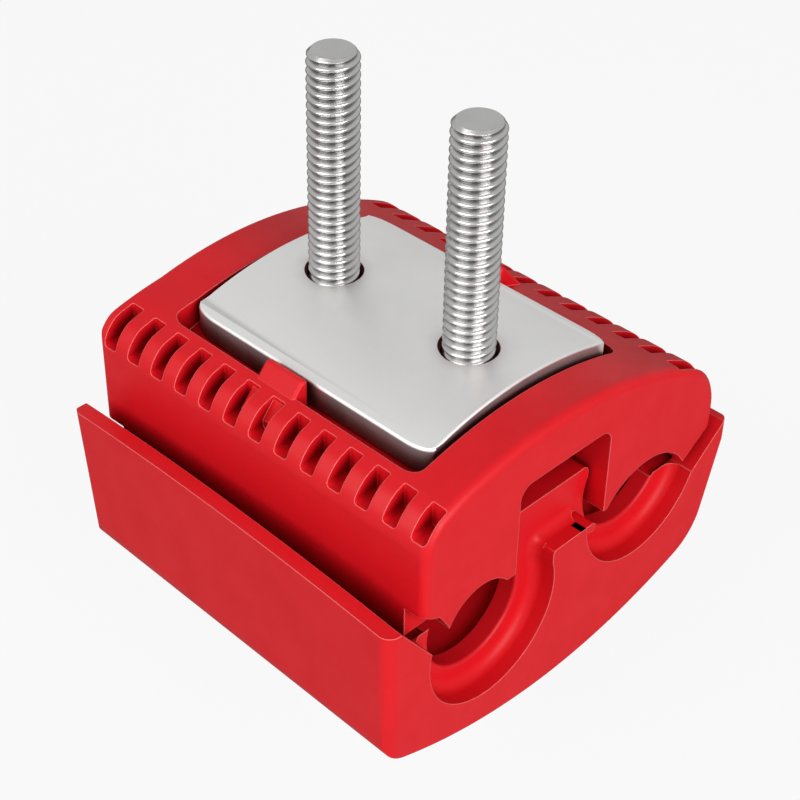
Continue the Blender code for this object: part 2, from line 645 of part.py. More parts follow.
def shear_bolt(build, label, y):
    """A bolt with a plain shank in place of its thread, a lasting hexagon, a neck and a shear hexagon."""
    head = head_levels()[2]
    neck = head - HEAD_T
    shear = neck - NECK_T
    profile = [(BOLT_R, head - NECK_ROOT), (BOLT_R, BOLT_TOP - BOLT_CHAMFER),
               (BOLT_R - BOLT_CHAMFER, BOLT_TOP)]
    name = "bolt_" + label
    bolt = build.add(name, turned(name, "Z", 0, y, 0, profile, BOLT_FACETS), "steel", at(0, y, head))
    build.join(bolt, hexagon(name + "_head", y, HEAD_FLATS, neck, head))
    build.join(bolt, rod(name + "_neck", "Z", (0, y, neck - NECK_T / 2), NECK_R, NECK_T + 2 * NECK_ROOT, 24))
    build.join(bolt, hexagon(name + "_shear_head", y, SHEAR_FLATS, shear - SHEAR_T, shear))
    shade(bolt)


def washers(build, label, y):
    washer, spring, _ = head_levels()
    flat = build.add("flat_washer_" + label, rod("flat_washer_" + label, "Z",
                     (0, y, washer - WASHER_T / 2), WASHER_R, WASHER_T, 24), "steel")
    dished = build.add("spring_washer_" + label, rod("spring_washer_" + label, "Z",
                       (0, y, spring - SPRING_WASHER_T / 2), SPRING_WASHER_R - SPRING_TAPER,
                       SPRING_WASHER_T, 24, SPRING_WASHER_R), "steel")
    for name, piece in (("flat", flat), ("spring", dished)):
        build.cut(piece, rod(name + "_bore_" + label, "Z", (0, y, washer), PLATE_HOLE_R, 2 * THROUGH, 24))
        shade(piece)


def seal(build, label, y):
    low = DECK_Z - SEAL_T + SEAL_PROUD + GAP
    ring = build.add("bolt_seal_" + label, rod("bolt_seal_" + label, "Z", (0, y, low + SEAL_T / 2),
                     SEAL_R, SEAL_T, 24), "rubber")
    build.cut(ring, rod("seal_bore_" + label, "Z", (0, y, low), PLATE_HOLE_R, 2 * THROUGH, 24))
    shade(ring)


def bite_radius(groove):
    """Radius of the blades' tooth tips in a groove, proud of its gasket."""
    return groove.pocket - GAP - GASKET_T - TOOTH_PROUD


def toothed_arc(groove, span, up):
    """Sawtooth points round a groove from left to right, within span degrees of its middle."""
    bite_r = bite_radius(groove)
    step = math.degrees(TOOTH_PITCH / bite_r)
    count = 2 * round(span / step)
    points = []
    for i in range(-count // 2, count // 2 + 1):
        angle = math.radians(up * (90.0 - i * step / 2))
        r = bite_r if i % 2 else bite_r + TOOTH_DEPTH
        points.append((groove.x + r * math.cos(angle), groove.z + r * math.sin(angle)))
    return points


def contact_blade(build, name, y, up):
    """A flat toothed bridge that bites both cables and joins them."""
    tap, main = (UPPER_TAP, UPPER_MAIN) if up > 0 else (LOWER_TAP, LOWER_MAIN)
    teeth_tap = toothed_arc(tap, TAP_BITE, up)
    teeth_main = toothed_arc(main, MAIN_BITE, up)
    back_z, c = blade_back(tap, main, up), BLADE_CHAMFER
    start_x, end_x = teeth_tap[0][0] - BLADE_END, teeth_main[-1][0] + BLADE_END
    bridge_z = BLADE_UPPER_BRIDGE_Z if up > 0 else BLADE_LOWER_BRIDGE_Z
    outline = teeth_tap + [(teeth_tap[-1][0] + BLADE_END, bridge_z), (teeth_main[0][0] - BLADE_END, bridge_z)]
    outline += teeth_main
    outline += [(end_x, back_z - up * c), (end_x - c, back_z), (start_x + c, back_z),
                (start_x, back_z - up * c)]
    build.add(name, slab(name, outline, y - BLADE_T / 2, y + BLADE_T / 2), "contact")


def gasket(build, name, groove, up, spread):
    """A rubber saddle in a groove's pocket, slit where the blades come through."""
    outer = groove.pocket - GAP
    inner = outer - GASKET_T
    middle = 90.0 * up
    outline = arc(groove.x, groove.z, outer, middle - spread, middle + spread)
    outline += arc(groove.x, groove.z, inner, middle + spread, middle - spread)
    saddle = build.add(name, slab(name, outline, -GASKET_HALF_Y, GASKET_HALF_Y), "rubber")
    half = BLADE_T / 2 + GAP
    reach = outer * math.sin(math.radians(spread)) - GASKET_WEB
    low_z, high_z = groove.z - 2 * outer, groove.z + 2 * outer
    for label, y in (("near", -BLADE_Y), ("far", BLADE_Y)):
        build.cut(saddle, box(name + "_slit_" + label, (groove.x - reach, y - half, low_z),
                              (groove.x + reach, y + half, high_z)))
    shade(saddle)


def main():
    clear_scene()
    build = Builder()
    lower_jaw(build)
    upper_jaw(build)
    pressure_plate(build, "upper_pressure_plate", 0.0, 1)
    pressure_plate(build, "lower_pressure_plate", LOWER_CROWN_Z, -1)
    for label, y in bolt_stations():
        shear_bolt(build, label, y)
        washers(build, label, y)
        seal(build, label, y)
    for label, y in (("near", -BLADE_Y), ("far", BLADE_Y)):
        contact_blade(build, "upper_blade_" + label, y, 1)
        contact_blade(build, "lower_blade_" + label, y, -1)
    gasket(build, "upper_tap_gasket", UPPER_TAP, 1, 60.0)
    gasket(build, "upper_main_gasket", UPPER_MAIN, 1, 48.0)
    gasket(build, "lower_tap_gasket", LOWER_TAP, -1, 75.0)
    gasket(build, "lower_main_gasket", LOWER_MAIN, -1, 52.0)


main()
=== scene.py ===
"""Looks, studio and camera for a red insulation piercing connector.

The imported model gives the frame. The jaws, pressure plates, threaded bolts and
seals are modelled again here with fine rounding and smooth surfaces, and stand
in for the faceted solids. Sizes are in millimetres, counted from the bolt line
and from the crown of the upper pressure plate, and are turned into metres in the
model's frame by ``Datum``.
"""

import logging
import math
from dataclasses import dataclass
from enum import Enum
from typing import Callable, Iterable, Optional, Sequence

import bmesh
import bpy
from mathutils import Matrix, Vector


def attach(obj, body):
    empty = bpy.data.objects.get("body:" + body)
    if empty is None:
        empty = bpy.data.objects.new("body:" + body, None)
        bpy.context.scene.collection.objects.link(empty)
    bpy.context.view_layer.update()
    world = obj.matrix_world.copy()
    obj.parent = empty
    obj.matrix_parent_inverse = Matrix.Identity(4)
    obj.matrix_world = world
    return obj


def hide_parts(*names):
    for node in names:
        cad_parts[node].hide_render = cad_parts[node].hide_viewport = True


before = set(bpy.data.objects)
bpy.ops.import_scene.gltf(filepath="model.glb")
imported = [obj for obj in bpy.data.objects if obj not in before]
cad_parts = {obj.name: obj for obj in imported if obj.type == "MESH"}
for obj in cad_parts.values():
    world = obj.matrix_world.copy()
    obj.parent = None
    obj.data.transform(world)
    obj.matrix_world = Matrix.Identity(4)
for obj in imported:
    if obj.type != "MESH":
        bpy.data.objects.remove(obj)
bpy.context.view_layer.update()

LOG = logging.getLogger("connector")
MM = 0.001
BEYOND = 60.0  # millimetres; well outside the connector, for the far edges of cutters
WELD = 0.003 * MM

Outline = list[tuple[float, float]]


class Body(Enum):
    """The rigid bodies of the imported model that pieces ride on."""

    LOWER = "lower"
    UPPER = "upper"
    NEAR_BOLT = "near_bolt"
    FAR_BOLT = "far_bolt"


class Finish(Enum):
    """The record's material slots."""

    NYLON = "jaw_plastic"
    PLATE = "plate_steel"
    BOLT = "bolt_steel"
    CONTACT = "contact_metal"
    RUBBER = "seal_rubber"


class Side(Enum):
    """Upper or lower half; the value is the way its back faces along Z."""

    UPPER = 1
    LOWER = -1


@dataclass(frozen=True)
class Datum:
    """Place of the bolt line and plate crown in the model's frame."""

    main_x: float = 23.7
    main_z: float = -34.7

    def place(self, x: float, y: float, z: float) -> Vector:
        """Return the model-frame point, in metres, of a point in millimetres."""
        return Vector(((x - self.main_x) * MM, y * MM, (z - self.main_z) * MM))


DATUM = Datum()
UPPER_CROWN_Z = 0.0
LOWER_CROWN_Z = -66.4


@dataclass(frozen=True)
class Groove:
    """One cable groove: its axis, mouth at the end faces, throat and inner pocket."""

    x: float
    z: float
    mouth: float
    throat: float
    pocket: float


UPPER_TAP = Groove(-21.6, -37.3, 8.9, 8.9, 10.6)
UPPER_MAIN = Groove(24.5, -40.7, 14.3, 14.3, 15.6)
LOWER_TAP = Groove(-19.1, -38.9, 16.6, 11.7, 14.0)
LOWER_MAIN = Groove(22.9, -30.2, 17.0, 11.7, 14.5)


@dataclass(frozen=True)
class PlateSize:
    """Sizes that the pressure plates share with their recesses."""

    half_x: float = 24.4
    half_y: float = 31.0
    thickness: float = 5.4
    arch_r: float = 74.7
    play: float = 1.4
    floor: float = 5.7
    corner_r: float = 3.6


PLATE_SIZE = PlateSize()


@dataclass(frozen=True)
class BladeSize:
    """Sizes of the slits that hold the contact blades."""

    station: float = 5.2
    half_width: float = 1.4
    depth: float = 5.6
    tooth: float = 3.7


BLADE_SIZE = BladeSize()


# --------------------------------------------------------------------------
# Shaping
# --------------------------------------------------------------------------


def arc(x: float, z: float, r: float, start: float, end: float, step: float = 3.0) -> Outline:
    """Return the points of an arc in the XZ plane.

    Args:
        x: Centre across the cables.
        z: Centre along the bolts.
        r: Radius.
        start: First angle in degrees.
        end: Last angle in degrees.
        step: Degrees between neighbouring points.

    Returns:
        The points from start to end.
    """
    count = max(1, round(abs(end - start) / step))
    points = []
    for i in range(count + 1):
        a = math.radians(start + (end - start) * i / count)
        points.append((x + r * math.cos(a), z + r * math.sin(a)))
    return points


def ramp(x: float, start: float, span: float) -> float:
    """Return a share that rises from 0 at the start to 1 a span further towards the tap side."""
    return min(1.0, max(0.0, (start - x) / span))


def bolt_stations() -> tuple[tuple[str, float], tuple[str, float]]:
    """Return the two bolts' names and stations along the cables."""
    half_spacing = 17.65
    return (("near", -half_spacing), ("far", half_spacing))


class Shaper:
    """Makes small meshes with bmesh operators, in the model's frame."""

    @staticmethod
    def mesh(name: str, bm: bmesh.types.BMesh) -> bpy.types.Mesh:
        """Store a bmesh as a mesh datablock and free it."""
        result = bpy.data.meshes.new(name)
        bm.to_mesh(result)
        bm.free()
        return result

    @staticmethod
    def chosen(bm: bmesh.types.BMesh,
               choose: Callable[[Vector, Vector], bool]) -> list[bmesh.types.BMEdge]:
        """Return the edges whose direction and middle pass a test."""
        picked = []
        for edge in bm.edges:
            a, b = (v.co for v in edge.verts)
            if choose((b - a).normalized(), (a + b) / 2):
                picked.append(edge)
        return picked

    @staticmethod
    def round_off(bm: bmesh.types.BMesh, edges: list[bmesh.types.BMEdge], radius: float,
                  segments: int) -> None:
        """Round some edges by a radius in millimetres."""
        bmesh.ops.bevel(bm, geom=edges, offset=radius * MM, segments=segments, profile=0.5,
                        affect="EDGES", material=-1)

    @staticmethod
    def extruded(name: str, corners: Iterable[Vector], shift: Vector) -> bpy.types.Mesh:
        """Extrude the flat face between some corners into a closed mesh."""
        bm = bmesh.new()
        bm.faces.new([bm.verts.new(corner) for corner in corners])
        made = bmesh.ops.extrude_face_region(bm, geom=bm.faces[:])
        moved = [g for g in made["geom"] if isinstance(g, bmesh.types.BMVert)]
        bmesh.ops.translate(bm, vec=shift, verts=moved)
        bmesh.ops.recalc_face_normals(bm, faces=bm.faces)
        return Shaper.mesh(name, bm)

    @staticmethod
    def slab(name: str, outline: Sequence[tuple[float, float]], y0: float, y1: float) -> bpy.types.Mesh:
        """Extrude a closed XZ outline between two stations along the cables.

        Args:
            name: Name of the mesh.
            outline: Corners as (x, z) in millimetres.
            y0: First station.
            y1: Second station.

        Returns:
            A closed mesh with its faces pointing out.
        """
        return Shaper.extruded(name, [DATUM.place(x, y0, z) for x, z in outline],
                               Vector((0, (y1 - y0) * MM, 0)))

    @staticmethod
    def cross_slab(name: str, outline: Sequence[tuple[float, float]], x0: float, x1: float) -> bpy.types.Mesh:
        """Extrude a closed YZ outline between two places across the cables."""
        return Shaper.extruded(name, [DATUM.place(x0, y, z) for y, z in outline],
                               Vector(((x1 - x0) * MM, 0, 0)))

    @staticmethod
    def loft(name: str, rings: Sequence[tuple[float, Outline]]) -> bpy.types.Mesh:
        """Join closed XZ outlines of equal length, each at its own station, into a solid.

        Args:
            name: Name of the mesh.
            rings: (station, outline) pairs along the cables.

        Returns:
            A closed mesh with its faces pointing out.
        """
        bm = bmesh.new()
        loops = [[bm.verts.new(DATUM.place(x, y, z)) for x, z in outline] for y, outline in rings]
        for loop, following in zip(loops, loops[1:]):
            for i in range(len(loop)):
                j = (i + 1) % len(loop)
                bm.faces.new((loop[i], loop[j], following[j], following[i]))
        bm.faces.new(loops[0])
        bm.faces.new(loops[-1])
        bmesh.ops.recalc_face_normals(bm, faces=bm.faces)
        return Shaper.mesh(name, bm)

    @staticmethod
    def brick(name: str, low: tuple[float, float, float], high: tuple[float, float, float],
              round_by: float = 0.0, segments: int = 3,
              choose: Optional[Callable[[Vector, Vector], bool]] = None) -> bpy.types.Mesh:
        """Make a block between two corners, with some or all edges rounded.

        Args:
            name: Name of the mesh.
            low: Lowest corner in millimetres.
            high: Highest corner in millimetres.
            round_by: Radius of the rounded edges.
            segments: Steps of the rounding.
            choose: Takes an edge's direction and middle, says whether to round it.

        Returns:
            The block.
        """
        bm = bmesh.new()
        bmesh.ops.create_cube(bm, size=1.0)
        bmesh.ops.scale(bm, vec=DATUM.place(*high) - DATUM.place(*low), verts=bm.verts)
        bmesh.ops.translate(bm, vec=(DATUM.place(*high) + DATUM.place(*low)) / 2, verts=bm.verts)
        if round_by:
            edges = bm.edges[:] if choose is None else Shaper.chosen(bm, choose)
            Shaper.round_off(bm, edges, round_by, segments)
        return Shaper.mesh(name, bm)

    @staticmethod
    def soften(mesh: bpy.types.Mesh, radius: float, segments: int,
               choose: Callable[[Vector, Vector], bool]) -> bpy.types.Mesh:
        """Round the edges of a mesh whose direction and middle pass a test.

        Args:
            mesh: The mesh to change.
            radius: Radius in millimetres.
            segments: Steps of the rounding.
            choose: Takes an edge's direction and middle, says whether to round it.

        Returns:
            The same mesh.
        """
        bm = bmesh.new()
        bm.from_mesh(mesh)
        Shaper.round_off(bm, Shaper.chosen(bm, choose), radius, segments)
        bm.to_mesh(mesh)
        bm.free()
        return mesh

    @staticmethod
    def turned(name: str, axis: str, x: float, y: float, z: float,
               profile: Sequence[tuple[float, float]], steps: int = 96) -> bpy.types.Mesh:
        """Spin a profile into a closed solid of revolution.

        Args:
            name: Name of the mesh.
            axis: "Y" or "Z", the axis it turns about.
            x: Axis place across the cables.
            y: Origin of the profile's stations along the cables.
            z: Origin of the profile's stations along the bolts.
            profile: (radius, station) pairs with rising stations.
            steps: Steps of the full turn.

        Returns:
            The solid.
        """
        bm = bmesh.new()
        points = [(0.0, profile[0][1])] + list(profile) + [(0.0, profile[-1][1])]
        verts = [bm.verts.new((r * MM, 0, s * MM)) for r, s in points]
        edges = [bm.edges.new(pair) for pair in zip(verts, verts[1:])]
        bmesh.ops.spin(bm, geom=verts + edges, cent=(0, 0, 0), axis=(0, 0, 1), angle=math.tau,
                       steps=steps, use_merge=True)
        bmesh.ops.remove_doubles(bm, verts=bm.verts, dist=MM * 0.002)
        bmesh.ops.recalc_face_normals(bm, faces=bm.faces)
        if axis == "Y":
            bmesh.ops.rotate(bm, matrix=Matrix.Rotation(-math.pi / 2, 3, "X"), verts=bm.verts)
        bmesh.ops.translate(bm, vec=DATUM.place(x, y, z), verts=bm.verts)
        return Shaper.mesh(name, bm)

    @staticmethod
    def post(name: str, x: float, y: float, z0: float, z1: float, r: float, steps: int = 64,
             top_r: Optional[float] = None) -> bpy.types.Mesh:
        """Make a round post, or a cone if top_r is given, along the bolts."""
        bm = bmesh.new()
        bmesh.ops.create_cone(bm, cap_ends=True, segments=steps, radius1=r * MM,
                              radius2=(r if top_r is None else top_r) * MM, depth=(z1 - z0) * MM)
        bmesh.ops.translate(bm, vec=DATUM.place(x, y, (z0 + z1) / 2), verts=bm.verts)
        return Shaper.mesh(name, bm)


class Moulding:
    """A solid built up and cut by Booleans, then cleaned into one smooth mesh."""

    def __init__(self, name: str, mesh: bpy.types.Mesh) -> None:
        """Start from a closed mesh."""
        self.name = name
        self.base = bpy.data.objects.new(name + "_blank", mesh)
        bpy.context.scene.collection.objects.link(self.base)
        self.tools: list[bpy.types.Object] = []

    def _step(self, mesh: bpy.types.Mesh, operation: str) -> None:
        tool = bpy.data.objects.new(mesh.name, mesh)
        bpy.context.scene.collection.objects.link(tool)
        self.tools.append(tool)
        step = self.base.modifiers.new(mesh.name, "BOOLEAN")
        step.object = tool
        step.operation = operation
        step.solver = "EXACT"

    def cut(self, *meshes: bpy.types.Mesh) -> None:
        """Take each mesh away."""
        for mesh in meshes:
            self._step(mesh, "DIFFERENCE")

    def join(self, *meshes: bpy.types.Mesh) -> None:
        """Add each mesh."""
        for mesh in meshes:
            self._step(mesh, "UNION")

    def round_ends(self, radius: float, z_low: float, z_high: float, segments: int = 5,
                   far_radius: Optional[float] = None) -> None:
        """Bevel the outline of both end faces between two heights.

        Args:
            radius: Radius in millimetres.
            z_low: Edges below this height stay sharp.
            z_high: Edges above this height stay sharp.
            segments: Steps of the rounding.
            far_radius: Radius at the far end, where it differs.
        """
        bm = bmesh.new()
        bm.from_mesh(self.base.data)
        for sign, r in ((-1, radius), (1, far_radius or radius)):
            chosen = []
            for edge in bm.edges:
                a, b = (v.co for v in edge.verts)
                height = (a.z + b.z) / 2 / MM + DATUM.main_z
                if abs(a.y - b.y) < MM * 0.01 and a.y * sign > 0 and z_low < height < z_high:
                    chosen.append(edge)
            Shaper.round_off(bm, chosen, r, segments)
        bm.to_mesh(self.base.data)
        bm.free()

    def keep(self, mesh: bpy.types.Mesh) -> None:
        """Keep only what lies inside the mesh."""
        self._step(mesh, "INTERSECT")

    def finish(self) -> bpy.types.Mesh:
        """Evaluate all steps into one welded mesh and drop the tools."""
        graph = bpy.context.evaluated_depsgraph_get()
        mesh = bpy.data.meshes.new_from_object(self.base.evaluated_get(graph))
        mesh.name = self.name
        bm = bmesh.new()
        bm.from_mesh(mesh)
        bmesh.ops.remove_doubles(bm, verts=bm.verts, dist=WELD)
        bmesh.ops.dissolve_degenerate(bm, edges=bm.edges, dist=WELD)
        bmesh.ops.dissolve_limit(bm, angle_limit=math.radians(0.1), verts=bm.verts, edges=bm.edges)
        bm.to_mesh(mesh)
        bm.free()
        for obj in [self.base, *self.tools]:
            data = obj.data
            bpy.data.objects.remove(obj, do_unlink=True)
            bpy.data.meshes.remove(data)
        return mesh


class Assembly:
    """Puts finished meshes on their bodies and keeps count of them."""

    def __init__(self) -> None:
        """Start with no pieces."""
        self.pieces: list[bpy.types.Object] = []

    def add(self, name: str, mesh: bpy.types.Mesh, look: bpy.types.Material, body: Body, finish: Finish,
            stands_for: Iterable[str] = (), smooth: float = 32.0) -> bpy.types.Object:
        """Add one piece to the object.

        Args:
            name: Name of the piece.
            mesh: Its mesh, in the model's frame.
            look: Its material.
            body: The body it rides on.
            finish: Not used; the record's slot that its finish comes from.
            stands_for: Solids that it replaces.
            smooth: Edges sharper than this many degrees stay sharp.

        Returns:
            The new object.
        """
        obj = bpy.data.objects.new(name, mesh)
        bpy.context.scene.collection.objects.link(obj)
        mesh.materials.clear()
        mesh.materials.append(look)
        mesh.shade_smooth()
        mesh.set_sharp_from_angle(angle=math.radians(smooth))
        even = obj.modifiers.new("even_normals", "WEIGHTED_NORMAL")
        even.keep_sharp = True
        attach(obj, body.value)
        if stands_for:
            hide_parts(*stands_for)
        self.pieces.append(obj)
        LOG.info("%s rides on %s with %d faces", name, body.value, len(mesh.polygons))
        return obj

    def dress(self, node: str, look: bpy.types.Material) -> None:
        """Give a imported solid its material."""
        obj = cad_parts[node]
        obj.data.materials.clear()
        obj.data.materials.append(look)
        LOG.info("%s keeps its solid", node)


# --------------------------------------------------------------------------
# Finishes
# --------------------------------------------------------------------------


class NodeBench:
    """Short hand for building a node tree."""

    def __init__(self, tree: bpy.types.NodeTree) -> None:
        """Work on this tree."""
        self.tree = tree

    def node(self, kind: str, label: str = "", **values: object) -> bpy.types.Node:
        """Add a node; values name its attributes."""
        made = self.tree.nodes.new(kind)
        if label:
            made.label = label
            made.name = label
        for key, value in values.items():
            setattr(made, key, value)
        return made

    def link(self, source: bpy.types.NodeSocket, target: bpy.types.NodeSocket) -> None:
        """Join two sockets."""
        self.tree.links.new(source, target)

    def maths(self, operation: str, *inputs: object) -> bpy.types.NodeSocket:
        """Add a Math node on sockets or numbers and return its output."""
        made = self.node("ShaderNodeMath", operation=operation)
        for socket, value in zip(made.inputs, inputs):
            if isinstance(value, bpy.types.NodeSocket):
                self.link(value, socket)
            else:
                socket.default_value = value
        return made.outputs[0]

    def blend(self, share: object, first: object, second: object) -> bpy.types.NodeSocket:
        """Mix two colours, given as sockets or colours, and return the result."""
        made = self.node("ShaderNodeMix", data_type="RGBA")
        for socket, value in ((made.inputs[0], share), (made.inputs[6], first), (made.inputs[7], second)):
            if isinstance(value, bpy.types.NodeSocket):
                self.link(value, socket)
            else:
                socket.default_value = value
        return made.outputs[2]

    def remap(self, value: bpy.types.NodeSocket, low: float, high: float,
              to_low: float, to_high: float) -> bpy.types.NodeSocket:
        """Map a range of values to another, clamped."""
        made = self.node("ShaderNodeMapRange")
        self.link(value, made.inputs[0])
        for socket, number in zip(made.inputs[1:5], (low, high, to_low, to_high)):
            socket.default_value = number
        return made.outputs[0]

    def noise(self, vector: bpy.types.NodeSocket, scale: float, detail: float = 3.0,
              rough: float = 0.55) -> bpy.types.NodeSocket:
        """Add a Noise Texture and return its value."""
        made = self.node("ShaderNodeTexNoise")
        self.link(vector, made.inputs["Vector"])
        made.inputs["Scale"].default_value = scale
        made.inputs["Detail"].default_value = detail
        made.inputs["Roughness"].default_value = rough
        return made.outputs["Fac"]


class SurfaceGrain:
    """Shared group: fine grain and slow waves as a height, and a soft patchy mask."""

    NAME = "surface_grain"

    @classmethod
    def group(cls) -> bpy.types.NodeTree:
        """Return the node group, building it the first time."""
        if cls.NAME in bpy.data.node_groups:
            return bpy.data.node_groups[cls.NAME]
        tree = bpy.data.node_groups.new(cls.NAME, "ShaderNodeTree")
        for name, default in (("Grain Size", 1800.0), ("Grain", 0.5), ("Wave Size", 60.0), ("Wave", 0.5)):
            socket = tree.interface.new_socket(name, in_out="INPUT", socket_type="NodeSocketFloat")
            socket.default_value = default
        tree.interface.new_socket("Height", in_out="OUTPUT", socket_type="NodeSocketFloat")
        tree.interface.new_socket("Patches", in_out="OUTPUT", socket_type="NodeSocketFloat")
        bench = NodeBench(tree)
        given = bench.node("NodeGroupInput")
        out = bench.node("NodeGroupOutput")
        place = bench.node("ShaderNodeTexCoord").outputs["Object"]
        grain = bench.node("ShaderNodeTexNoise", "grain")
        wave = bench.node("ShaderNodeTexNoise", "wave")
        for made, size in ((grain, "Grain Size"), (wave, "Wave Size")):
            bench.link(place, made.inputs["Vector"])
            bench.link(given.outputs[size], made.inputs["Scale"])
            made.inputs["Detail"].default_value = 2.0
        patches = bench.noise(place, 140.0, 4.0)
        height = bench.maths("ADD",
                             bench.maths("MULTIPLY", grain.outputs["Fac"], given.outputs["Grain"]),
                             bench.maths("MULTIPLY", wave.outputs["Fac"], given.outputs["Wave"]))
        bench.link(height, out.inputs["Height"])
        bench.link(patches, out.inputs["Patches"])
        return tree


@dataclass(frozen=True)
class Look:
    """A finish with softened edges, grain and patchy roughness, and optionally a painted edge highlight and
    painted shade in hollows; see ``build``.
    """

    name: str
    color: tuple[float, float, float]
    shade: tuple[float, float, float]
    roughness: float
    roughness_spread: float = 0.06
    metallic: float = 0.0
    edge_radius: float = 0.3
    grain_size: float = 1800.0
    grain: float = 0.5
    wave_size: float = 60.0
    wave: float = 0.5
    bump: float = 0.1
    specular: float = 0.5
    # Pale colour painted along the edges as a highlight, and how much of it is mixed in.
    edge_highlight: Optional[tuple[float, float, float]] = None
    edge_highlight_share: float = 0.5
    # Dark tone painted as shade where the surface is occluded, with the occlusion's reach and the range it
    # acts over.
    painted_shade: Optional[tuple[float, float, float]] = None
    painted_shade_reach: float = 14.0
    painted_shade_span: tuple[float, float] = (0.05, 0.45)

    def build(self) -> bpy.types.Material:
        """Return the material, made the first time."""
        if self.name in bpy.data.materials:
            return bpy.data.materials[self.name]
        mat = bpy.data.materials.new(self.name)
        mat.use_nodes = True
        bench = NodeBench(mat.node_tree)
        shader = mat.node_tree.nodes["Principled BSDF"]
        grain = bench.node("ShaderNodeGroup", "grain", node_tree=SurfaceGrain.group())
        grain.inputs["Grain Size"].default_value = self.grain_size
        grain.inputs["Grain"].default_value = self.grain
        grain.inputs["Wave Size"].default_value = self.wave_size
        grain.inputs["Wave"].default_value = self.wave
        patches = grain.outputs["Patches"]
        color = bench.blend(bench.remap(patches, 0.3, 0.7, 0.0, 1.0), (*self.color, 1.0), (*self.shade, 1.0))
        bench.link(self.tint(bench, color), shader.inputs["Base Color"])
        bench.link(bench.remap(patches, 0.3, 0.7, self.roughness - self.roughness_spread,
                               self.roughness + self.roughness_spread), shader.inputs["Roughness"])
        shader.inputs["Metallic"].default_value = self.metallic
        shader.inputs["Specular IOR Level"].default_value = self.specular
        # Painted shade in grooves, slots and gaps.
        if self.painted_shade:
            self.paint_shade(bench, shader)
        bump = bench.node("ShaderNodeBump", "surface")
        bump.inputs["Strength"].default_value = self.bump
        bump.inputs["Distance"].default_value = 0.0002
        bench.link(grain.outputs["Height"], bump.inputs["Height"])
        if self.edge_radius:
            soft = bench.node("ShaderNodeBevel", "soft_edges", samples=6)
            soft.inputs["Radius"].default_value = self.edge_radius * MM
            bench.link(soft.outputs["Normal"], bump.inputs["Normal"])
            # Painted highlight along the edges.
            if self.edge_highlight:
                self.paint_edge_highlights(bench, soft, shader)
        bench.link(bump.outputs["Normal"], shader.inputs["Normal"])
        return mat

    def paint_edge_highlights(self, bench: NodeBench, soft: bpy.types.Node, shader: bpy.types.Node) -> None:
        """Painted highlight: make the colour paler at the edges, where the softened normal leaves the true
        one.
        """
        flat = bench.node("ShaderNodeNewGeometry", "true_normal").outputs["Normal"]
        turn = bench.node("ShaderNodeVectorMath", operation="DOT_PRODUCT")
        bench.link(soft.outputs["Normal"], turn.inputs[0])
        bench.link(flat, turn.inputs[1])
        share = bench.remap(turn.outputs["Value"], 0.99, 0.80, 0.0, self.edge_highlight_share)
        color = shader.inputs["Base Color"].links[0].from_socket
        bench.link(bench.blend(share, color, (*self.edge_highlight, 1.0)), shader.inputs["Base Color"])

    def paint_shade(self, bench: NodeBench, shader: bpy.types.Node) -> None:
        """Painted shade: take the colour towards the shade tone, and the specular level down, inside grooves,
        slots and gaps where the occlusion is strong.
        """
        shelter = bench.node("ShaderNodeAmbientOcclusion", "shelter", samples=8)
        shelter.inputs["Distance"].default_value = self.painted_shade_reach * MM
        share = bench.remap(shelter.outputs["AO"], *self.painted_shade_span, 1.0, 0.0)
        color = shader.inputs["Base Color"].links[0].from_socket
        bench.link(bench.blend(share, color, (*self.painted_shade, 1.0)), shader.inputs["Base Color"])
        sheen = bench.remap(shelter.outputs["AO"], 0.40, 0.92, 0.0, self.specular)
        bench.link(sheen, shader.inputs["Specular IOR Level"])

    def tint(self, bench: NodeBench, color: bpy.types.NodeSocket) -> bpy.types.NodeSocket:
        """Change the colour where the finish calls for it; the plain finish doesn't."""
        return color


@dataclass(frozen=True)
class ThreadLook(Look):
    """Bright rolled thread with painted shade that darkens its roots."""

    axis: tuple[float, float] = (0.0, 0.0)
    root: float = 4.15
    # Dark tone painted into the thread's roots as shade, up to the height where the end face stays bright.
    root_shade: tuple[float, float, float] = (0.09, 0.075, 0.07)
    unshaded_above: float = 45.9

    def tint(self, bench: NodeBench, color: bpy.types.NodeSocket) -> bpy.types.NodeSocket:
        """Paint shade into the thread's roots and leave the end face bright."""
        centre = DATUM.place(*self.axis, self.unshaded_above)
        place = bench.node("ShaderNodeTexCoord").outputs["Object"]
        shift = bench.node("ShaderNodeMapping", "bolt_axis")
        bench.link(place, shift.inputs["Vector"])
        shift.inputs["Location"].default_value = (-centre.x, -centre.y, 0)
        shift.inputs["Scale"].default_value = (1, 1, 0)
        reach = bench.node("ShaderNodeVectorMath", operation="LENGTH")
        bench.link(shift.outputs[0], reach.inputs[0])
        depth = bench.remap(reach.outputs["Value"], self.root * MM, (self.root + 0.35) * MM, 0.85, 0.0)
        split = bench.node("ShaderNodeSeparateXYZ", "height")
        bench.link(place, split.inputs[0])
        thread = bench.remap(split.outputs["Z"], centre.z, centre.z + 0.4 * MM, 1.0, 0.0)
        return bench.blend(bench.maths("MULTIPLY", depth, thread), color, (*self.root_shade, 1.0))


# The pale pink edge colour below is a painted highlight along the edges, and the dark red tone is painted
# shade in grooves, slots and gaps.
NYLON = Look("red_nylon", (0.74, 0.009, 0.016), (0.70, 0.007, 0.013), 0.42, 0.04, specular=0.3,
             edge_radius=0.3, edge_highlight=(1.0, 0.32, 0.30), edge_highlight_share=0.85, painted_shade=(0.15, 0.0, 0.001),
             grain_size=2600.0, grain=0.4, wave_size=90.0, wave=1.2, bump=0.10)
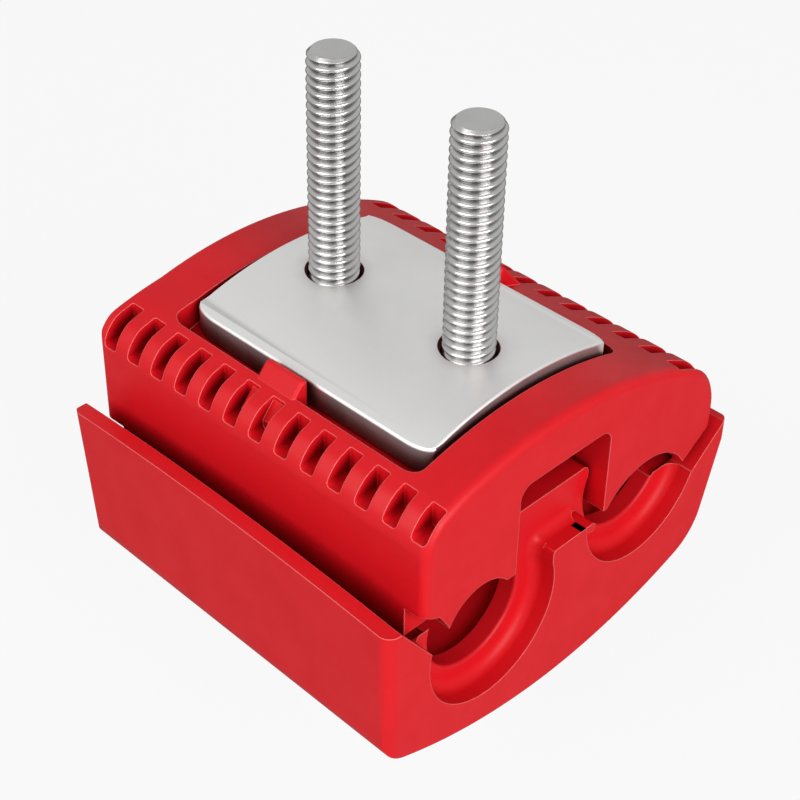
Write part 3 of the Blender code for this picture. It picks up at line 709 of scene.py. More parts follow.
# The dark red tone on the plate is painted shade, together with a painted reflection of the red jaws on the
# plate's sides.
PLATE = Look("satin_plate", (0.93, 0.925, 0.915), (0.90, 0.895, 0.885), 0.50, 0.03, metallic=1.0,
             edge_radius=0.0, grain_size=3000.0, grain=0.8, wave_size=50.0, wave=0.4, bump=0.03,
             painted_shade=(0.22, 0.04, 0.04), painted_shade_reach=9.0, painted_shade_span=(0.2, 0.8))
HEAD = Look("zinc_steel", (0.74, 0.73, 0.71), (0.70, 0.69, 0.67), 0.26, 0.05, metallic=1.0,
            edge_radius=0.25, grain_size=2500.0, bump=0.05)
CONTACT = Look("tinned_copper", (0.72, 0.70, 0.66), (0.66, 0.64, 0.60), 0.34, 0.06, metallic=1.0,
               edge_radius=0.15, bump=0.06)
RUBBER = Look("seal_rubber", (0.030, 0.030, 0.034), (0.022, 0.022, 0.025), 0.62, 0.06,
              edge_radius=0.3, grain_size=2200.0, bump=0.12)


# --------------------------------------------------------------------------
# Jaws
# --------------------------------------------------------------------------


def dome_corner(apex_x: float, apex_z: float, dome_r: float, side_x: float, corner_r: float,
                side: Side) -> tuple[float, float, float]:
    """Find the fillet between a domed back and a side wall.

    Args:
        apex_x: Crown's place across the cables.
        apex_z: Crown's height.
        dome_r: Radius of the dome.
        side_x: The side wall.
        corner_r: Radius of the fillet.
        side: Which half the dome belongs to.

    Returns:
        The fillet's centre (x, z) and the angle where it leaves the dome.
    """
    up = side.value
    centre_z = apex_z - up * dome_r
    x = side_x - math.copysign(corner_r, side_x - apex_x)
    z = centre_z + up * math.sqrt((dome_r - corner_r) ** 2 - (x - apex_x) ** 2)
    return x, z, math.degrees(math.atan2(z - centre_z, x - apex_x))


def arch_points(crown_z: float, radius: float, x0: float, x1: float, side: Side,
                step: float = 1.5) -> Outline:
    """Return points along a plate's arch between two places across the cables."""
    up = side.value
    centre_z = crown_z - up * radius
    start = up * math.degrees(math.acos(x0 / radius))
    end = up * math.degrees(math.acos(x1 / radius))
    return arc(0, centre_z, radius, start, end, step)


def groove_end(groove: Groove, end: float) -> Outline:
    """Return the (radius, station) profile of one end of a groove, from its pocket to its mouth.

    Args:
        groove: The groove.
        end: Distance of the jaw's end face from its middle.

    Returns:
        The profile, running past the end face.
    """
    shoulder, throat_end = 38.5, 34.6
    rim = [(groove.mouth, end + 2.0)]
    if groove.mouth <= groove.throat:
        return [(groove.pocket, throat_end), (groove.mouth, throat_end + 1.0)] + rim
    fillet, nose = 2.4, 0.7
    hollow = [(groove.mouth - fillet + fillet * math.sin(math.radians(a)),
               shoulder + fillet - fillet * math.cos(math.radians(a))) for a in range(0, 91, 10)]
    turn = [(groove.throat + nose - nose * math.cos(math.radians(a)),
             shoulder - nose + nose * math.sin(math.radians(a))) for a in range(0, 91, 18)]
    return [(groove.pocket, throat_end - 0.8), (groove.throat, throat_end)] + turn + hollow + rim


def groove_cutter(name: str, groove: Groove, near: float, far: float) -> bpy.types.Mesh:
    """Make the cutter for both mouths, throats and the pocket of one groove.

    Args:
        name: Name of the cutter.
        groove: The groove.
        near: Distance of the near end face from the jaw's middle.
        far: Distance of the far end face.

    Returns:
        The cutter.
    """
    profile = [(r, -s) for r, s in reversed(groove_end(groove, near))] + groove_end(groove, far)
    return Shaper.turned(name, "Y", groove.x, 0, groove.z, profile, 100)


def is_upright(way: Vector, middle: Vector) -> bool:
    """Tell whether an edge runs along the bolts, wherever its middle lies."""
    return abs(way.z) > 0.999


def plate_recess(name: str, crown_z: float, tap_room: float, side: Side) -> bpy.types.Mesh:
    """Make the cutter for a pressure plate's recess, with an arched floor."""
    size = PLATE_SIZE
    low_x, high_x, half_y = -size.half_x - tap_room, size.half_x + size.play, size.half_y + size.play
    floor = [(x, z - side.value * size.floor)
             for x, z in arch_points(crown_z, size.arch_r, low_x, high_x, side)]
    top = crown_z + side.value * 8.0
    block = Shaper.slab(name, floor + [(high_x, top), (low_x, top)], -half_y, half_y)
    return Shaper.soften(block, size.corner_r, 8, is_upright)


def tooth_radius(groove: Groove) -> float:
    """Return the radius of the blades' tooth tips in a groove."""
    return groove.pocket - BLADE_SIZE.tooth


def blade_slits(name: str, tap: Groove, main: Groove, mouth_z: float, side: Side) -> list[bpy.types.Mesh]:
    """Make the two cutters that hold the contact blades of one jaw."""
    up, size = side.value, BLADE_SIZE
    floor_z = up * max(up * (g.z + up * (tooth_radius(g) + size.depth)) for g in (tap, main))
    low_z, high_z = sorted((floor_z, mouth_z))
    left, right = tap.x - tap.pocket + 1.0, main.x + main.pocket - 2.0
    return [Shaper.brick(name, (left, y - size.half_width, low_z), (right, y + size.half_width, high_z))
            for y in (-size.station, size.station)]


@dataclass
class UpperJaw:
    """The domed jaw with its recess, finger notches, clip lugs, slot and grooves."""

    near_end: float = 42.4
    far_end: float = 43.5
    tap_x: float = -38.2
    main_x: float = 45.5
    apex: tuple[float, float] = (-3.0, -1.6)
    dome_r: float = 88.0
    tap_shoulder_r: float = 7.5
    main_shoulder_r: float = 14.0
    foot_z: float = -33.9
    notched_foot: tuple[tuple[float, float], ...] = ((-35.6, -27.4), (-32.3, -29.1), (-29.7, -33.2))
    foot_width: float = 6.6
    foot_notch: float = 4.7
    far_foot: tuple[tuple[float, float], ...] = ((-35.0, -28.9), (-29.7, -33.2))
    tap_tip: tuple[float, float] = (-29.4, -33.7)
    main_tip: tuple[float, float] = (37.0, -33.4)
    main_foot_z: float = -27.4
    core_z: float = -31.7
    spare: float = 11.0
    end_r: float = 1.9
    far_r: float = 0.9
    near_corner_r: float = 0.6
    far_corner_r: float = 2.4
    near_draw: float = 1.9
    draw_ramp: tuple[float, float] = (-28.0, 8.0)
    far_lift: float = 1.5
    lift_ramp: tuple[float, float] = (-22.0, 13.0)
    slot_half: float = 12.4
    slot_top: float = -11.8
    slot_corner: float = 3.0
    slot_end: float = 24.6
    notch_count: int = 13
    notch_pitch: float = 6.63
    notch_width: float = 3.3
    notch_walls: tuple[float, float] = (-30.5, 33.0)
    notch_floors: tuple[float, float] = (-11.4, -16.4)
    notch_floor_r: float = 0.8
    notch_wall_r: float = 0.3
    lug_y: float = 2.6
    lug_half: float = 5.0
    lug_r: float = 0.7
    lug_inner: float = 25.7
    lug_top: float = -2.4
    lug_root: float = 0.6
    tap_lug_foot: tuple[float, float] = (-33.2, -9.6)
    main_lug_foot: tuple[float, float] = (33.2, -9.9)
    recess_room: float = 4.4
    bolt_hole_r: float = 5.6

    def outline(self) -> Outline:
        """Return the end view: domed back, shoulders and side walls that run on below the tips."""
        ax, az = self.apex
        tx, tz, ta = dome_corner(ax, az, self.dome_r, self.tap_x, self.tap_shoulder_r, Side.UPPER)
        mx, mz, ma = dome_corner(ax, az, self.dome_r, self.main_x, self.main_shoulder_r, Side.UPPER)
        points = [(self.tap_x, self.foot_z - self.spare)]
        points += arc(tx, tz, self.tap_shoulder_r, 180.0, ta)
        points += arc(ax, az - self.dome_r, self.dome_r, ta, ma, 1.5)[1:-1]
        points += arc(mx, mz, self.main_shoulder_r, ma, 0.0)
        return points + [(self.main_x, self.foot_z - self.spare)]

    def underside(self) -> bpy.types.Mesh:
        """Make the cutter below the feet, tips and core."""
        points = [(-BEYOND, self.foot_z), (self.tap_x + self.foot_width, self.foot_z), self.tap_tip,
                  (UPPER_TAP.x, self.core_z), (UPPER_MAIN.x, self.core_z), self.main_tip,
                  (self.main_x, self.main_foot_z), (BEYOND, self.main_foot_z), (BEYOND, -BEYOND),
                  (-BEYOND, -BEYOND)]
        return Shaper.slab("upper_underside", points, -self.near_end - 2, self.far_end + 2)

    def foot_notches(self) -> list[bpy.types.Mesh]:
        """Make the cutters that lift the tap wall's foot over the lower jaw's end walls."""
        cutters = []
        inner = self.near_end - self.foot_notch
        for name, foot, y0, y1 in (("near_foot", self.notched_foot, -self.near_end - 2, -inner),
                                   ("far_foot", self.far_foot, inner, self.far_end + 2)):
            outline = [(-BEYOND, foot[0][1]), *foot, (foot[-1][0], -BEYOND), (-BEYOND, -BEYOND)]
            cutters.append(Shaper.slab(name, outline, y0, y1))
        return cutters

    def shape_tap_side(self, mesh: bpy.types.Mesh) -> bpy.types.Mesh:
        """Draw the tap wall in towards the near end and lift the shoulder at the far end."""
        for vert in mesh.vertices:
            x = vert.co.x / MM + DATUM.main_x
            if vert.co.y < 0:
                vert.co.x += self.near_draw * MM * ramp(x, *self.draw_ramp)
            else:
                vert.co.z += self.far_lift * MM * ramp(x, *self.lift_ramp)
        return mesh

    def corners(self) -> bpy.types.Mesh:
        """Make the block whose upright corners round the tap side wall's ends."""
        low, high = self.foot_z - self.spare - 1, 2.0
        block = Shaper.brick("upper_corners", (self.tap_x - 0.02, -self.near_end - 0.02, low),
                             (self.main_x + 5, self.far_end + 0.02, high))
        middle = DATUM.place(0, 0, 0).x
        for radius, sign in ((self.near_corner_r, -1), (self.far_corner_r, 1)):
            Shaper.soften(block, radius, 8,
                          lambda way, mid: abs(way.z) > 0.9 and mid.x < middle and mid.y * sign > 0)
        return self.shape_tap_side(block)

    def slot(self, name: str, y0: float, y1: float) -> bpy.types.Mesh:
        """Make the cutter for one end's slot."""
        c, half, top = self.slot_corner, self.slot_half, self.slot_top
        points = [(-half, self.core_z - 4)] + arc(c - half, top - c, c, 180, 90, 10)
        points += arc(half - c, top - c, c, 90, 0, 10) + [(half, self.core_z - 4)]
        return Shaper.slab(name, points, y0, y1)

    def notches(self) -> list[bpy.types.Mesh]:
        """Make the cutters for both rows of finger notches."""
        cutters = []
        spans = (("tap_notches", self.tap_x - 4.0, self.notch_walls[0], self.notch_floors[0]),
                 ("main_notches", self.notch_walls[1], self.main_x + 4.0, self.notch_floors[1]))
        for name, x0, x1, floor_z in spans:
            wall = DATUM.place(max(x0, x1, key=lambda x: -abs(x)), 0, 0).x
            half, r = self.notch_width / 2, self.notch_floor_r
            bm = bmesh.new()
            for i in range(self.notch_count):
                y = (i - (self.notch_count - 1) / 2) * self.notch_pitch
                outline = [(y - half, 6.0)] + arc(y - half + r, floor_z + r, r, 180, 270, 15)
                outline += arc(y + half - r, floor_z + r, r, 270, 360, 15) + [(y + half, 6.0)]
                one = Shaper.soften(Shaper.cross_slab(name, outline, x0, x1), self.notch_wall_r, 3,
                                    lambda way, mid: abs(mid.x - wall) < MM * 0.01)
                bm.from_mesh(one)
                bpy.data.meshes.remove(one)
            cutters.append(Shaper.mesh(name, bm))
        return cutters

    def lug(self, name: str, foot: tuple[float, float], floor_z: float, sign: int) -> bpy.types.Mesh:
        """Make one clip lug: a wedge with an upright inner face, rooted below the notches' floor."""
        inner, top, root = sign * self.lug_inner, self.lug_top, floor_z - self.lug_root
        points = [(inner, root), (inner, top - 0.6), (inner + sign * 0.25, top - 0.15),
                  (inner + sign * 0.8, top), (inner + sign * 1.5, top - 0.25), foot, (foot[0], root)]
        y0, y1 = self.lug_y - self.lug_half, self.lug_y + self.lug_half
        return Shaper.soften(Shaper.slab(name, points, y0, y1), self.lug_r, 4,
                             lambda way, mid: abs(way.y) < 0.5 and mid.z > DATUM.place(0, 0, foot[1]).z)

    def mesh(self) -> bpy.types.Mesh:
        """Build the jaw."""
        jaw = Moulding("upper_jaw_shell", Shaper.slab("upper_blank", self.outline(), -self.near_end,
                                                      self.far_end))
        jaw.round_ends(self.end_r, self.foot_z - self.spare + 0.1, 5.0, far_radius=self.far_r)
        self.shape_tap_side(jaw.base.data)
        jaw.keep(self.corners())
        jaw.cut(self.underside(), *self.foot_notches())
        jaw.cut(plate_recess("upper_recess", UPPER_CROWN_Z, self.recess_room, Side.UPPER))
        jaw.cut(groove_cutter("upper_tap_groove", UPPER_TAP, self.near_end, self.far_end))
        jaw.cut(groove_cutter("upper_main_groove", UPPER_MAIN, self.near_end, self.far_end))
        jaw.cut(self.slot("near_slot", -self.near_end - 1, -self.slot_end))
        jaw.cut(self.slot("far_slot", self.slot_end, self.far_end + 1))
        jaw.cut(*self.notches())
        jaw.join(self.lug("tap_lug", self.tap_lug_foot, self.notch_floors[0], -1),
                 self.lug("main_lug", self.main_lug_foot, self.notch_floors[1], 1))
        for name, y in bolt_stations():
            jaw.cut(Shaper.post("upper_hole_" + name, 0, y, self.core_z - 2, 4.0, self.bolt_hole_r))
        jaw.cut(*blade_slits("upper_slit", UPPER_TAP, UPPER_MAIN, self.core_z - 6, Side.UPPER))
        return jaw.finish()


@dataclass
class LowerJaw:
    """The tray-like jaw with skirts, end walls, groove lips, ledge and tongues."""

    half_length: float = 43.6
    tap_x: float = -46.2
    main_x: float = 49.9
    apex: tuple[float, float] = (-2.0, -64.4)
    dome_r: float = 110.0
    tap_corner_r: float = 7.0
    main_corner_r: float = 12.0
    tap_rim_z: float = -22.4
    tap_rim_y: float = 15.0
    tap_rim_r: float = 615.0
    main_rim_z: float = -28.9
    wall_tap_z: float = -25.2
    wall_main_z: float = -27.3
    skirt: float = 3.2
    deck_z: float = -37.2
    wall_y: float = 38.3
    tap_lip: tuple[float, float] = (-34.8, -35.6)
    main_lip: tuple[float, float] = (38.9, -36.5)
    ledge: tuple[float, float] = (-3.2, 8.7)
    ledge_z: float = -31.3
    ledge_edge: float = 0.9
    tongue_half: float = 11.7
    tongue_top: float = -22.2
    tongue_corner: float = 1.6
    tongue_face: float = 38.6
    tongue_end: float = 25.1
    spare_z: float = -12.0
    end_r: float = 1.0
    skirt_end_r: float = 2.8
    far_lean: float = 0.12
    main_lean: float = 15.5
    far_shift: float = 0.5
    far_rise: float = 2.1
    rise_ramp: tuple[float, float] = (-5.0, 38.0)
    tip_r: float = 1.3
    bolt_hole_r: float = 5.6
    seal_seat_r: float = 8.7

    def outline(self) -> Outline:
        """Return the end view: skirts that run on above their rims over a domed underside."""
        ax, az = self.apex
        tx, tz, ta = dome_corner(ax, az, self.dome_r, self.tap_x, self.tap_corner_r, Side.LOWER)
        mx, mz, ma = self.main_corner()
        points = [(self.tap_x, self.spare_z)]
        points += arc(tx, tz, self.tap_corner_r, -180.0, ta)
        points += arc(ax, az + self.dome_r, self.dome_r, ta, ma, 1.5)[1:-1]
        points += arc(mx, mz, self.main_corner_r, ma, -self.main_lean)
        return points + [(self.main_side(self.main_rim_z), self.main_rim_z), (self.main_x, self.spare_z)]

    def main_side(self, z: float) -> float:
        """Return where the main side wall's outer face stands at a height."""
        return self.main_x - math.tan(math.radians(self.main_lean)) * (self.main_rim_z - z)

    def main_corner(self) -> tuple[float, float, float]:
        """Find the fillet between the leaning main side wall and the domed underside.

        Returns:
            The fillet's centre (x, z) and the angle where it leaves the dome.
        """
        tilt = math.radians(self.main_lean)
        centre = Vector((self.apex[0], self.apex[1] + self.dome_r))
        down = Vector((-math.sin(tilt), -math.cos(tilt)))
        start = Vector((self.main_x, self.main_rim_z)) - self.main_corner_r * Vector(
            (math.cos(tilt), -math.sin(tilt))) - centre
        reach = self.dome_r - self.main_corner_r
        along = start.dot(down)
        step = -along + math.sqrt(along ** 2 - start.length_squared + reach ** 2)
        off = start + step * down
        return centre.x + off.x, centre.y + off.y, math.degrees(math.atan2(off.y, off.x))

    def lean(self, mesh: bpy.types.Mesh) -> bpy.types.Mesh:
        """Lean the far end face inwards towards the underside."""
        top = DATUM.place(0, 0, self.tap_rim_z).z
        for vert in mesh.vertices:
            if vert.co.y > self.wall_y * MM:
                vert.co.y -= self.far_shift * MM + self.far_lean * (top - vert.co.z)
        return mesh

    def rise(self, mesh: bpy.types.Mesh) -> None:
        """Lift the underside a little towards its far tap corner."""
        deck = DATUM.place(0, 0, self.deck_z).z
        for vert in mesh.vertices:
            if vert.co.y > self.wall_y * MM and vert.co.z < deck:
                x = vert.co.x / MM + DATUM.main_x
                vert.co.z += self.far_rise * MM * ramp(x, *self.rise_ramp)

    def tap_rim(self) -> bpy.types.Mesh:
        """Make the cutter above the tap skirt's rim, which is slightly crowned along the cables."""
        reach, tip = self.half_length + 2, self.half_length - self.far_shift
        stations = [reach * i / 20 - reach for i in range(38)]
        stations += [tip - self.tip_r * (1 - math.sin(math.radians(a))) for a in range(0, 91, 15)] + [reach]
        points = []
        for y in stations:
            over = min(self.tip_r, max(0.0, y - tip + self.tip_r))
            drop = self.tip_r - math.sqrt(self.tip_r ** 2 - over ** 2)
            points.append((y, self.tap_rim_z - (y - self.tap_rim_y) ** 2 / (2 * self.tap_rim_r) - drop))
        return Shaper.cross_slab("tap_rim", points + [(reach, 10.0), (-reach, 10.0)], -BEYOND, 0.0)

    def main_rim(self) -> bpy.types.Mesh:
        """Make the cutter above the main skirt's rim."""
        z = self.main_rim_z
        points = [(-1.0, z), (self.main_x - 0.55, z), (self.main_x - 0.15, z - 0.18),
                  (self.main_x, z - 0.55), (BEYOND, z - 0.55), (BEYOND, 10.0), (-1.0, 10.0)]
        return Shaper.slab("main_rim", points, -self.half_length - 2, self.half_length + 2)

    def corners(self) -> bpy.types.Mesh:
        """Make the block whose upright corners round the skirts' ends."""
        return self.lean(Shaper.brick(
            "lower_corners", (self.tap_x - 0.02, -self.half_length - 0.02, self.apex[1] - 5),
            (self.main_x + 0.02, self.half_length + 0.02, self.spare_z + 2), self.skirt_end_r, 8,
            lambda way, mid: abs(way.z) > 0.9))

    def cavity(self) -> bpy.types.Mesh:
        """Make the cutter between the skirts."""
        left, right = self.tap_x + self.skirt, self.main_x - self.skirt
        foot = self.main_side(self.deck_z) - self.skirt
        points = [(left, self.deck_z), (foot, self.deck_z), (right, self.main_rim_z), (right, 0), (left, 0)]
        return Shaper.slab("lower_cavity", points, -self.wall_y, self.wall_y)

    def mouth(self, name: str, y0: float, y1: float) -> bpy.types.Mesh:
        """Make the cutter that opens one end wall down to its lips.

        Args:
            name: Name of the cutter.
            y0: First station.
            y1: Second station.

        Returns:
            The cutter.
        """
        left, right = self.tap_x + self.skirt, self.main_x + 2
        lip_x, lip_z = self.main_lip
        slope = (lip_z - self.wall_main_z) / (lip_x - self.main_x)
        l0, z, edge = self.ledge[0], self.ledge_z, self.ledge_edge
        points = [(left, self.wall_tap_z),
                  (self.tap_lip[0] - 0.9, self.tap_lip[1] + 0.9), self.tap_lip, (l0, self.tap_lip[1]),
                  (l0, z - edge), (l0 + 0.25, z - 0.25), (l0 + edge, z), (self.ledge[1], z),
                  (self.ledge[1], lip_z), self.main_lip, (right, lip_z + slope * (right - lip_x)),
                  (right, 0), (left, 0)]
        return Shaper.slab(name, points, y0, y1)

    def tongue(self, name: str, y0: float, y1: float) -> bpy.types.Mesh:
        """Make one tongue block."""
        c, half, top = self.tongue_corner, self.tongue_half, self.tongue_top
        points = [(-half, self.deck_z - 6)] + arc(c - half, top - c, c, 180, 90, 15)
        points += arc(half - c, top - c, c, 90, 0, 15) + [(half, self.deck_z - 6)]
        return Shaper.slab(name, points, y0, y1)

    def ledge_fillet(self, name: str, sign: int) -> bpy.types.Mesh:
        """Make the hollow fillet that follows the ledge's side and top against the tongue."""
        r, edge, (left, right), z = 2.4, self.ledge_edge, self.ledge, self.ledge_z
        rings = []
        for i in range(9):
            a = math.radians(i * 90 / 8)
            out = r - r * math.sin(a)
            outline = [(left - out, LOWER_TAP.z - 1.0)] + arc(left + edge, z - edge, edge + out, 180, 90, 15)
            outline += [(right - 0.8, z + out), (right - 0.8, LOWER_TAP.z - 1.0)]
            rings.append((sign * (self.tongue_face + r - r * math.cos(a)), outline))
        return Shaper.loft(name, [(sign * (self.tongue_face - 0.4), rings[0][1])] + rings)

    def nib(self, name: str, y0: float, y1: float) -> bpy.types.Mesh:
        """Make the small rounded lip where the ledge overhangs the main groove."""
        x, z, r = self.ledge[1], self.ledge_z, 1.0
        points = [(x - 4.2, z)] + arc(x - r, z - r, r, 90, -70, 20) + [(x - 2.4, z - 1.5), (x - 4.2, z - 3.2)]
        return Shaper.slab(name, points, y0, y1)

    def mesh(self) -> bpy.types.Mesh:
        """Build the jaw."""
        jaw = Moulding("lower_jaw_shell", Shaper.slab("lower_blank", self.outline(), -self.half_length,
                                                      self.half_length))
        jaw.round_ends(self.end_r, -80.0, self.spare_z - 0.1)
        self.rise(jaw.base.data)
        self.lean(jaw.base.data)
        jaw.keep(self.corners())
        jaw.cut(self.tap_rim(), self.main_rim(), self.cavity())
        ends = (("near", -1), ("far", 1))
        for name, sign in ends:
            span = sorted((sign * (self.wall_y - 0.3), sign * (self.half_length + 1)))
            jaw.cut(self.mouth("mouth_" + name, *span))
        for name, sign in ends:
            span = sorted((sign * self.tongue_end, sign * self.tongue_face))
            jaw.join(self.tongue("tongue_" + name, *span))
            jaw.join(self.ledge_fillet("fillet_" + name, sign))
        jaw.cut(groove_cutter("lower_tap_groove", LOWER_TAP, self.half_length, self.half_length))
        jaw.cut(groove_cutter("lower_main_groove", LOWER_MAIN, self.half_length, self.half_length))
        for name, sign in ends:
            span = sorted((sign * (self.tongue_face - 0.2), sign * (self.half_length - 0.05)))
            jaw.join(self.nib("nib_" + name, *span))
        jaw.cut(plate_recess("lower_recess", LOWER_CROWN_Z, PLATE_SIZE.play, Side.LOWER))
        for name, y in bolt_stations():
            jaw.cut(Shaper.post("lower_hole_" + name, 0, y, -68.0, self.deck_z + 20, self.bolt_hole_r))
            jaw.cut(Shaper.post("seal_seat_" + name, 0, y, self.deck_z - 3.0, self.deck_z + 2,
                                self.seal_seat_r))
        jaw.cut(*blade_slits("lower_slit", LOWER_TAP, LOWER_MAIN, self.deck_z + 1, Side.LOWER))
        return jaw.finish()


# --------------------------------------------------------------------------
# Steel pieces
# --------------------------------------------------------------------------


@dataclass
class PressurePlate:
    """An arched steel plate with rounded corners, soft edges and two holes."""

    side: Side
    crown_z: float
    corner_r: float = 6.0
    edge_r: float = 0.55
    hole_r: float = 5.3

    def blank(self) -> bpy.types.Mesh:
        """Build the plate without its holes."""
        up, size = self.side.value, PLATE_SIZE
        outer = arch_points(self.crown_z, size.arch_r, -size.half_x, size.half_x, self.side)
        inner = [(x, z - up * size.thickness) for x, z in reversed(outer)]
        mesh = Shaper.slab("plate_blank", outer + inner, -size.half_y, size.half_y)
        bm = bmesh.new()
        bm.from_mesh(mesh)
        Shaper.round_off(bm, Shaper.chosen(bm, is_upright), self.corner_r, 10)
        rim = [e for e in bm.edges if e.calc_face_angle() > math.radians(60)]
        Shaper.round_off(bm, rim, self.edge_r, 5)
        bm.to_mesh(mesh)
        bm.free()
        return mesh

    def mesh(self) -> bpy.types.Mesh:
        """Build the plate."""
        z, r = self.crown_z, self.hole_r
        plate = Moulding(f"{self.side.name.lower()}_plate", self.blank())
        for name, y in bolt_stations():
            plate.cut(Shaper.post("hole_" + name, 0, y, z - 12, z + 12, r))
            if self.side is Side.UPPER:
                plate.cut(Shaper.post("chamfer_" + name, 0, y, z - 0.9, z + 0.9, r, top_r=r + 1.1))
            else:
                plate.cut(Shaper.post("seat_" + name, 0, y, z - 3.3, z + 0.7, 9.8))
        return plate.finish()


@dataclass
class ShearBolt:
    """A bolt with a rolled thread, a lasting hexagon, a neck and a shear hexagon."""

    y: float
    radius: float = 5.0
    root: float = 4.1
    pitch: float = 1.75
    top: float = 46.6
    thread_start: float = -30.0
    head_top: float = -71.4
    head_t: float = 7.0
    head_flats: float = 16.0
    neck_r: float = 4.0
    neck_t: float = 1.6
    shear_t: float = 9.0
    shear_flats: float = 13.0

    def thread_profile(self) -> Outline:
        """Return one pitch of the rolled thread as (radius, height), round at crest and root."""
        points = []
        count = 12
        for i in range(count + 1):
            share = i / count
            wave = 0.5 + 0.5 * math.cos(math.tau * share)
            flat = wave ** 0.75
            points.append((self.root + (self.radius - self.root) * flat, self.pitch * share))
        return points

    def thread(self) -> bpy.types.Mesh:
        """Build the threaded shank as one helical skin with a chamfered end."""
        turns = math.ceil((self.top - self.thread_start) / self.pitch) + 2
        steps = 40
        bm = bmesh.new()
        verts = [bm.verts.new((r * MM, 0, z * MM)) for r, z in self.thread_profile()]
        edges = [bm.edges.new(pair) for pair in zip(verts, verts[1:])]
        bmesh.ops.spin(bm, geom=verts + edges, cent=(0, 0, 0), axis=(0, 0, 1), angle=math.tau,
                       dvec=(0, 0, self.pitch * MM / steps), steps=steps, use_merge=False)
        first_turn = bm.verts[:] + bm.edges[:] + bm.faces[:]
        for turn in range(1, turns):
            copied = bmesh.ops.duplicate(bm, geom=first_turn)["geom"]
            raised = [g for g in copied if isinstance(g, bmesh.types.BMVert)]
            bmesh.ops.translate(bm, vec=(0, 0, turn * self.pitch * MM), verts=raised)
        bmesh.ops.remove_doubles(bm, verts=bm.verts, dist=MM * 0.004)
        base = DATUM.place(0, self.y, self.thread_start - self.pitch)
        bmesh.ops.translate(bm, vec=base, verts=bm.verts)
        top_z = DATUM.place(0, 0, self.top).z
        low_z = DATUM.place(0, 0, self.thread_start).z
        for vert in bm.verts:
            room = (top_z - vert.co.z) / MM + self.root - 0.1
            off = Vector((vert.co.x - base.x, vert.co.y - base.y))
            if off.length > room * MM > 0:
                off *= room * MM / off.length
                vert.co.x, vert.co.y = base.x + off.x, base.y + off.y
        for z, out in ((top_z, 1), (low_z, -1)):
            cut = bmesh.ops.bisect_plane(bm, geom=bm.verts[:] + bm.edges[:] + bm.faces[:], dist=1e-7,
                                         plane_co=(0, 0, z), plane_no=(0, 0, out), clear_outer=True)
            rim = [e for e in cut["geom_cut"] if isinstance(e, bmesh.types.BMEdge)]
            bmesh.ops.holes_fill(bm, edges=rim, sides=0)
        bmesh.ops.recalc_face_normals(bm, faces=bm.faces)
        return Shaper.mesh("thread", bm)

    def hexagon(self, name: str, flats: float, z0: float, z1: float) -> bpy.types.Mesh:
        """Build one hexagon with chamfered corners."""
        bm = bmesh.new()
        bmesh.ops.create_cone(bm, cap_ends=True, segments=6, radius1=flats / math.sqrt(3) * MM,
                              radius2=flats / math.sqrt(3) * MM, depth=(z1 - z0) * MM)
        rims = [e for e in bm.edges if abs(e.verts[0].co.z - e.verts[1].co.z) < MM * 0.01]
        Shaper.round_off(bm, rims, 0.6, 2)
        bmesh.ops.translate(bm, vec=DATUM.place(0, self.y, (z0 + z1) / 2), verts=bm.verts)
        return Shaper.mesh(name, bm)

    def head(self) -> bpy.types.Mesh:
        """Build the plain shank, both hexagons and the neck."""
        neck_top = self.head_top - self.head_t
        shear_top = neck_top - self.neck_t
        shank = Moulding("bolt_head", Shaper.turned(
            "shank", "Z", 0, self.y, 0,
            [(self.radius - 0.25, self.head_top - 0.5), (self.radius - 0.25, self.thread_start)], 64))
        shank.join(self.hexagon("head", self.head_flats, neck_top, self.head_top))
        shank.join(Shaper.post("neck", 0, self.y, shear_top - 0.5, neck_top + 0.5, self.neck_r))
        shank.join(self.hexagon("shear_head", self.shear_flats, shear_top - self.shear_t, shear_top))
        return shank.finish()


